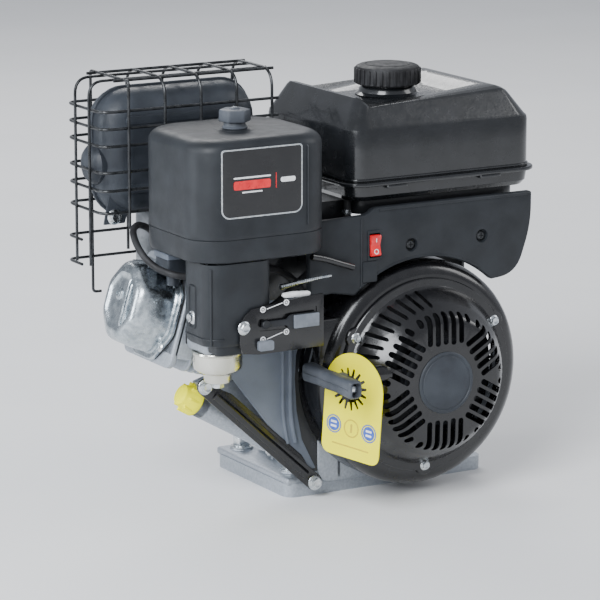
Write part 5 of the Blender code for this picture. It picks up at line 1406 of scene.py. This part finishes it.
def engine_switch():
    """The red rocker, with its bent face and two plain printed marks."""
    low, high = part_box("engine_switch")
    middle = (low + high) / 2
    half = (high.z - low.z) / 2
    outline = [(low.y + 0.008, -half), (low.y + 0.0012, -half), (low.y + 0.0002, -half + 0.0015),
               (low.y + 0.0026, 0.0), (low.y, half - 0.0015), (low.y + 0.001, half), (low.y + 0.008, half)]
    side = Matrix.Translation((middle.x, 0, middle.z)) @ turned(pi / 2) @ turned(pi / 2, "X")
    rocker = plate(outline, high.x - low.x, side, 0.0005)
    shapes = [rocker]
    tilt_low = Vector((middle.x, low.y + 0.0009, middle.z - 0.0058))
    mark = hoop(0.0019, 0.0026, 0.0, 0.0004, tilt_low, Vector((0, -1, 0.15)), 28)
    shapes.append(painted(mark, "white_print"))
    line = block((middle.x - 0.0003, low.y + 0.0004, middle.z + 0.0036),
                 (middle.x + 0.0003, low.y + 0.0012, middle.z + 0.008))
    shapes.append(painted(line, "white_print"))
    piece("rocker_switch", shapes, "red_plastic", "engine_switch", "engine_switch")


def air_cleaner():
    """Base with its duct, hollow cover with rounded top, clear label plate, wing knob and pleated filter."""
    low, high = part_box("air_cleaner_base")
    base_low, base_high = Vector((-0.268, -0.132, 0.2665)), Vector((-0.122, 0.0, 0.2895))
    middle = (base_low + base_high) / 2
    half_x, half_y = (base_high.x - base_low.x) / 2, (base_high.y - base_low.y) / 2
    levels = [(0.006, 0.2667), (0.0025, 0.2672), (0.001, 0.2684), (0.0005, 0.271), (0.0, 0.278),
              (0.0, 0.2895)]
    tray = loft([shifted(rounded(half_x - inset, half_y - inset, 0.034, 12), middle, z)
                 for inset, z in levels])
    well = [shifted(rounded(half_x - 0.003 - inset, half_y - 0.003 - inset, 0.031, 12), middle, z)
            for inset, z in ((0.004, 0.27), (0.0, 0.274), (0.0, 0.295))]
    duct_hole = plate(rounded(0.02, 0.0095, 0.005, 5), 0.03, lying(-0.222, -0.1122, 0.27))
    shapes = [cut(tray, loft(well), duct_hole)]
    rim = shifted(rounded(half_x - 0.0009, half_y - 0.0009, 0.033, 12), middle, 0.2888)
    shapes.append(tube(rim, 0.0009, 8, closed=True))
    duct_low, duct_high = Vector((-0.246, -0.1255, low.z)), Vector((-0.198, -0.099, 0.2675))
    duct_middle = (duct_low + duct_high) / 2
    duct = plate(shifted(rounded(0.0238, 0.013, 0.006, 5), duct_middle), duct_high.z - duct_low.z,
                 lying(0, 0, duct_middle.z), 0.0012)
    bore = plate(shifted(rounded(0.0205, 0.01, 0.004, 5), duct_middle), duct_high.z - duct_low.z,
                 lying(0, 0, duct_middle.z + 0.006))
    port = drum((-0.222, -0.11, 0.195), (-0.222, -0.09, 0.195), 0.0135, 48)
    shapes.append(cut(duct, bore, port))
    seat = hoop(0.028, 0.05, 0.274, 0.2757, (middle.x, middle.y, 0), UP, 72)
    shapes.append(seat)
    stud_foot, stud_top = Vector((middle.x, middle.y, 0.27)), Vector((middle.x, middle.y, 0.384))
    shapes.append(painted(drum(stud_foot, stud_top, 0.0028, 28), "bright_zinc"))
    piece("cleaner_tray", shapes, "charcoal_plastic", node="air_cleaner_base")
    low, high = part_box("air_cleaner_cover")
    foot, roof = low.z, high.z
    half_x, half_y = (high.x - low.x) / 2, (high.y - low.y) / 2
    middle = (low + high) / 2
    radius = 0.012
    levels = [(0.0004, foot), (0.0, foot + 0.0008), (0.0, foot + 0.004), (0.0, roof - radius)]
    levels += [(radius * (1 - cos(a)), roof - radius * (1 - sin(a)))
               for a in (radians(15 * k) for k in range(1, 7))]
    levels += [(0.02, roof), (0.03, roof)]
    outer = [shifted(rounded(half_x - inset, half_y - inset, 0.034 - inset * 0.3, 12), middle, z)
             for inset, z in levels]
    wall = 0.0026
    inner_levels = [(wall, foot - 0.01), (wall, roof - radius), (wall + 0.003, roof - 0.0055),
                    (wall + 0.01, roof - wall), (0.03, roof - wall)]
    inner = [shifted(rounded(half_x - inset, half_y - inset, 0.034 - inset * 0.3, 12), middle, z)
             for inset, z in inner_levels]
    hole = drum((middle.x, middle.y, roof - 0.02), (middle.x, middle.y, roof + 0.02), 0.0034, 32)
    shell = cut(loft(outer), loft(inner), hole)
    shapes = [shell]
    seam = shifted(rounded(half_x - 0.0012, half_y - 0.0012, 0.033, 12), middle, foot + 0.0022)
    shapes.append(tube(seam, 0.0012, 8, closed=True))
    ring = lathe([(0.019, roof - 0.0012), (0.019, roof + 0.0001), (0.0206, roof + 0.0001),
                  (0.0212, roof - 0.0012)], (middle.x, middle.y, 0), UP, 72)
    shapes.append(ring)
    rib = [(-0.1515, low.y - 0.0001, foot + 0.008), (-0.1515, low.y - 0.0001, roof - 0.012),
           (-0.1515, low.y + 0.006, roof - 0.0045)]
    shapes.append(tube(rib, 0.001, 10))
    piece("cleaner_cover", shapes, "charcoal_plastic", "air_cleaner_cover", "air_cleaner_cover")
    label_right, label_low, label_high = -0.158, 0.3105, 0.377
    face = low.y
    curve = [(label_right, face - 0.0002), (-0.2335, face - 0.0002)]
    for k in range(1, 7):
        angle = radians(90 + 3.2 * k)
        curve.append((low.x + 0.034 + 0.0342 * cos(angle), face + 0.034 - 0.0342 * sin(angle)))

    def label(inset, depth, finish):
        """One layer of the label, its lower corners rounded wider than its upper ones."""
        left = Vector(curve[-1]) + Vector((inset * 0.9, -inset * 0.33))
        route = [Vector(curve[0]) + Vector((-inset, 0))] + [Vector(spot) for spot in curve[1:-1]] + [left]
        far = [0.0]
        for one, two in zip(route, route[1:]):
            far.append(far[-1] + (two - one).length)
        near = [0.009 * (1 - cos(radians(10 * k))) for k in range(10)]
        stops = sorted(set(near + far[1:-1] + [far[-1] - stop for stop in near]))

        def lift(stop, radius):
            gap = min(stop, far[-1] - stop)
            return radius - sqrt(radius**2 - (radius - gap) ** 2) if gap < radius else 0.0

        built = bmesh.new()
        rows = []
        for stop in stops:
            k = max(k for k in range(len(far) - 1) if far[k] <= stop + 1e-9)
            x, y = route[k].lerp(route[k + 1], min((stop - far[k]) / (far[k + 1] - far[k]), 1.0))
            foot = label_low + inset + lift(stop, 0.0085 - inset)
            roof = label_high - inset - lift(stop, 0.0032 - inset / 2)
            rows.append([built.verts.new(spot) for spot in ((x, y - depth, foot), (x, y - depth, roof),
                                                            (x, y + 0.0012, roof), (x, y + 0.0012, foot))])
        for one, two in zip(rows, rows[1:]):
            for k in range(4):
                built.faces.new((one[k], one[(k + 1) % 4], two[(k + 1) % 4], two[k]))
        built.faces.new(rows[0])
        built.faces.new(rows[-1])
        return painted(solid(built), finish)

    sheet = [label(0.0, 0.0002, "bright_zinc"), label(0.0014, 0.00035, "black_gloss_paint")]
    for x, z, wide, tall, ink in ((-0.213, 0.342, 0.02, 0.0042, "red_plastic"),
                                  (-0.213, 0.3492, 0.02, 0.0008, "white_print"),
                                  (-0.213, 0.3352, 0.011, 0.0007, "white_print"),
                                  (-0.174, 0.344, 0.008, 0.0024, "white_print"),
                                  (-0.187, 0.344, 0.0004, 0.0075, "red_plastic")):
        band = plate([(px + x, pz + z) for px, pz in rounded(wide, tall, 0.002, 4)], 0.0004,
                     facing_front(0, face - 0.0007, 0))
        sheet.append(painted(band, ink))
    piece("label_plate", sheet, "black_gloss_paint", "air_cleaner_cover")
    low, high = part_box("cover_knob")
    centre = centred(low, high, low.z)
    tall = high.z - low.z
    profile = [(0, 0.007), (0.0098, 0.007), (0.0104, 0.006), (0.0108, 0.0024), (0.0122, 0.001),
               (0.0122, 0.0001), (0, 0.0001)]
    collar = lathe(profile, centre, UP, 64)
    grip = drum(centre + UP * 0.0064, centre + UP * (tall - 0.0024), 0.0162, 6, 0.0156, 0.0016, 0.15)
    crown = lathe([(0, 0.002), (0.0032, 0.002), (0.0046, 0.0012), (0.0058, 0.0), (0, 0.0)],
                  centre + UP * (tall - 0.0026), UP, 40)
    stud = painted(lathe(disc_profile(0.0022, 0.0016, 0.0004), centre + UP * (tall - 0.0016), UP, 24),
                   "bright_zinc")
    piece("cleaner_knob", [collar, grip, crown, stud], "grip_plastic", "cover_knob", "cover_knob")
    low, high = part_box("filter_element")
    centre = (low + high) / 2
    pleats = []
    count = 60
    for k in range(count * 2):
        angle = TURN * k / (count * 2)
        reach = 0.0505 if k % 2 else 0.044
        pleats.append((reach * cos(angle), reach * sin(angle)))
    folds = cut(plate(pleats, high.z - low.z - 0.01, lying(*centre)),
                drum((centre.x, centre.y, low.z - 0.01), (centre.x, centre.y, high.z + 0.01), 0.035, 72))
    caps = []
    for near, far in ((low.z + 0.0001, low.z + 0.006), (high.z - 0.006, high.z - 0.0001)):
        caps.append(lathe([(0.052, near + 0.001), (0.052, far - 0.001), (0.051, far), (0.031, far),
                           (0.0302, far - 0.001), (0.0302, near + 0.001), (0.031, near), (0.051, near)],
                          (centre.x, centre.y, 0), UP, 96))
    piece("pleated_filter", [folds] + [painted(one, "black_rubber") for one in caps], "filter_paper",
          node="filter_element")


def fuel_line():
    """The fuel line and its two clips."""
    route = [(-0.066, -0.062, 0.3015), (-0.069, -0.064, 0.28), (-0.086, -0.072, 0.256),
             (-0.124, -0.079, 0.234), (-0.16, -0.079, 0.208), (-0.18, -0.079, 0.205), (-0.197, -0.079, 0.205)]
    hose = tube(spread(route, 60), 0.004, 18)
    piece("fuel_hose", [hose], "black_rubber", node="fuel_line")
    clips = []
    for spot, way in (((-0.0675, -0.0628, 0.29), (0.1, 0.07, 1.0)), ((-0.189, -0.079, 0.205), (1, 0, 0))):
        clips.append(hoop(0.0041, 0.0051, -0.0022, 0.0022, spot, way, 40))
    piece("hose_clips", clips, "bright_zinc")


def inside_parts():
    """Finishes for the parts inside, whose CAD shapes are used as they are, with painted shade on the
    flywheel and starter cup.
    """
    looks = {
        "machined_steel": ["front_bearing", "rear_bearing", "wrist_pin", "camshaft", "flywheel_nut",
                           "choke_plate",
                           "throttle_plate", "intake_valve", "exhaust_valve", "spark_plug"],
        "cast_aluminium": ["connecting_rod", "rod_big_end", "piston"],
        # The flywheel and starter cup get the black finish as painted shade, dark like the shade inside the
        # starter cover.
        "black_coat_and_painted_shade": ["flywheel", "starter_cup"],
        "dark_plastic": ["cooling_fan", "starter_pulley", "ignition_coil"],
        "gasket_fibre": ["head_gasket"],
    }
    for finish, nodes in looks.items():
        for node in nodes:
            stand_for(node, finish)


# Making it all

cylinder_head()
valve_cover()
spark_plug_set()
guard_bars()
muffler_can()
exhaust()
shroud()
carburetor()
carburetor_cover()
controls()
small_fittings()
crankcase()
mounting_studs()
crankcase_cover()
crankshaft()
blower_housing()
recoil_cover()
starter_handle()
hang_tag()
fuel_tank()
fuel_cap()
tank_bracket()
front_panel()
engine_switch()
air_cleaner()
fuel_line()
inside_parts()
rope_core, rope_strands = starter_rope()
rope = piece("starter_cord", [rope_core, *rope_strands], "black_rubber", None, "starter_rope")


# Floor, light and camera


def floor():
    mesh = bpy.data.meshes.new("studio_floor")
    reach = 40
    mesh.from_pydata([(-reach, -reach, 0), (reach, -reach, 0), (reach, reach, 0), (-reach, reach, 0)], [],
                     [(0, 1, 2, 3)])
    ground = bpy.data.objects.new("studio_floor", mesh)
    scene.collection.objects.link(ground)
    pale = Finish("pale_floor", 0.85)
    pale.colour((0.84, 0.84, 0.84), (0.87, 0.87, 0.87), 3)
    mesh.materials.append(pale.material)


def area_light(name, place, target, size, power, colour=(1, 1, 1)):
    lamp = bpy.data.lights.new(name, "AREA")
    lamp.shape = "RECTANGLE"
    lamp.size, lamp.size_y = size
    lamp.energy = power
    lamp.color = colour
    made = bpy.data.objects.new(name, lamp)
    made.location = place
    made.rotation_euler = (Vector(place) - Vector(target)).to_track_quat("Z", "Y").to_euler()
    scene.collection.objects.link(made)


def studio():
    world = bpy.data.worlds.new("studio")
    world.use_nodes = True
    world.node_tree.nodes["Background"].inputs["Color"].default_value = (0.86, 0.9, 0.98, 1)
    world.node_tree.nodes["Background"].inputs["Strength"].default_value = 0.58
    scene.world = world
    middle = (cad_low + cad_high) / 2
    area_light("key", (-2.6, -1.7, 2.2), middle, (1.6, 2.2), 175, (0.93, 0.96, 1.0))
    area_light("left_strip", (-2.6, 0.5, 0.9), middle, (0.6, 1.6), 34, (0.88, 0.94, 1.0))
    area_light("right_fill", (2.6, -1.2, 1.8), middle, (1.2, 1.6), 26)
    area_light("back_rim", (0.6, 2.4, 2.2), middle, (1.8, 1.0), 40)


def camera():
    """Three-quarter view from the front left, a little above the engine."""
    target = Vector((-0.1068, -0.0387, 0.2006))
    azimuth, elevation, distance = radians(-29.97), radians(12.42), 3.4
    way = Vector((sin(azimuth) * cos(elevation), -cos(azimuth) * cos(elevation), sin(elevation)))
    lens = bpy.data.cameras.new("studio_camera")
    lens.lens, lens.sensor_width = 205.5, 36
    lens.clip_end = 200
    made = bpy.data.objects.new("studio_camera", lens)
    made.location = target + way * distance
    made.rotation_euler = way.to_track_quat("Z", "Y").to_euler()
    scene.collection.objects.link(made)
    scene.camera = made


floor()
studio()
camera()
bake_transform(rope)
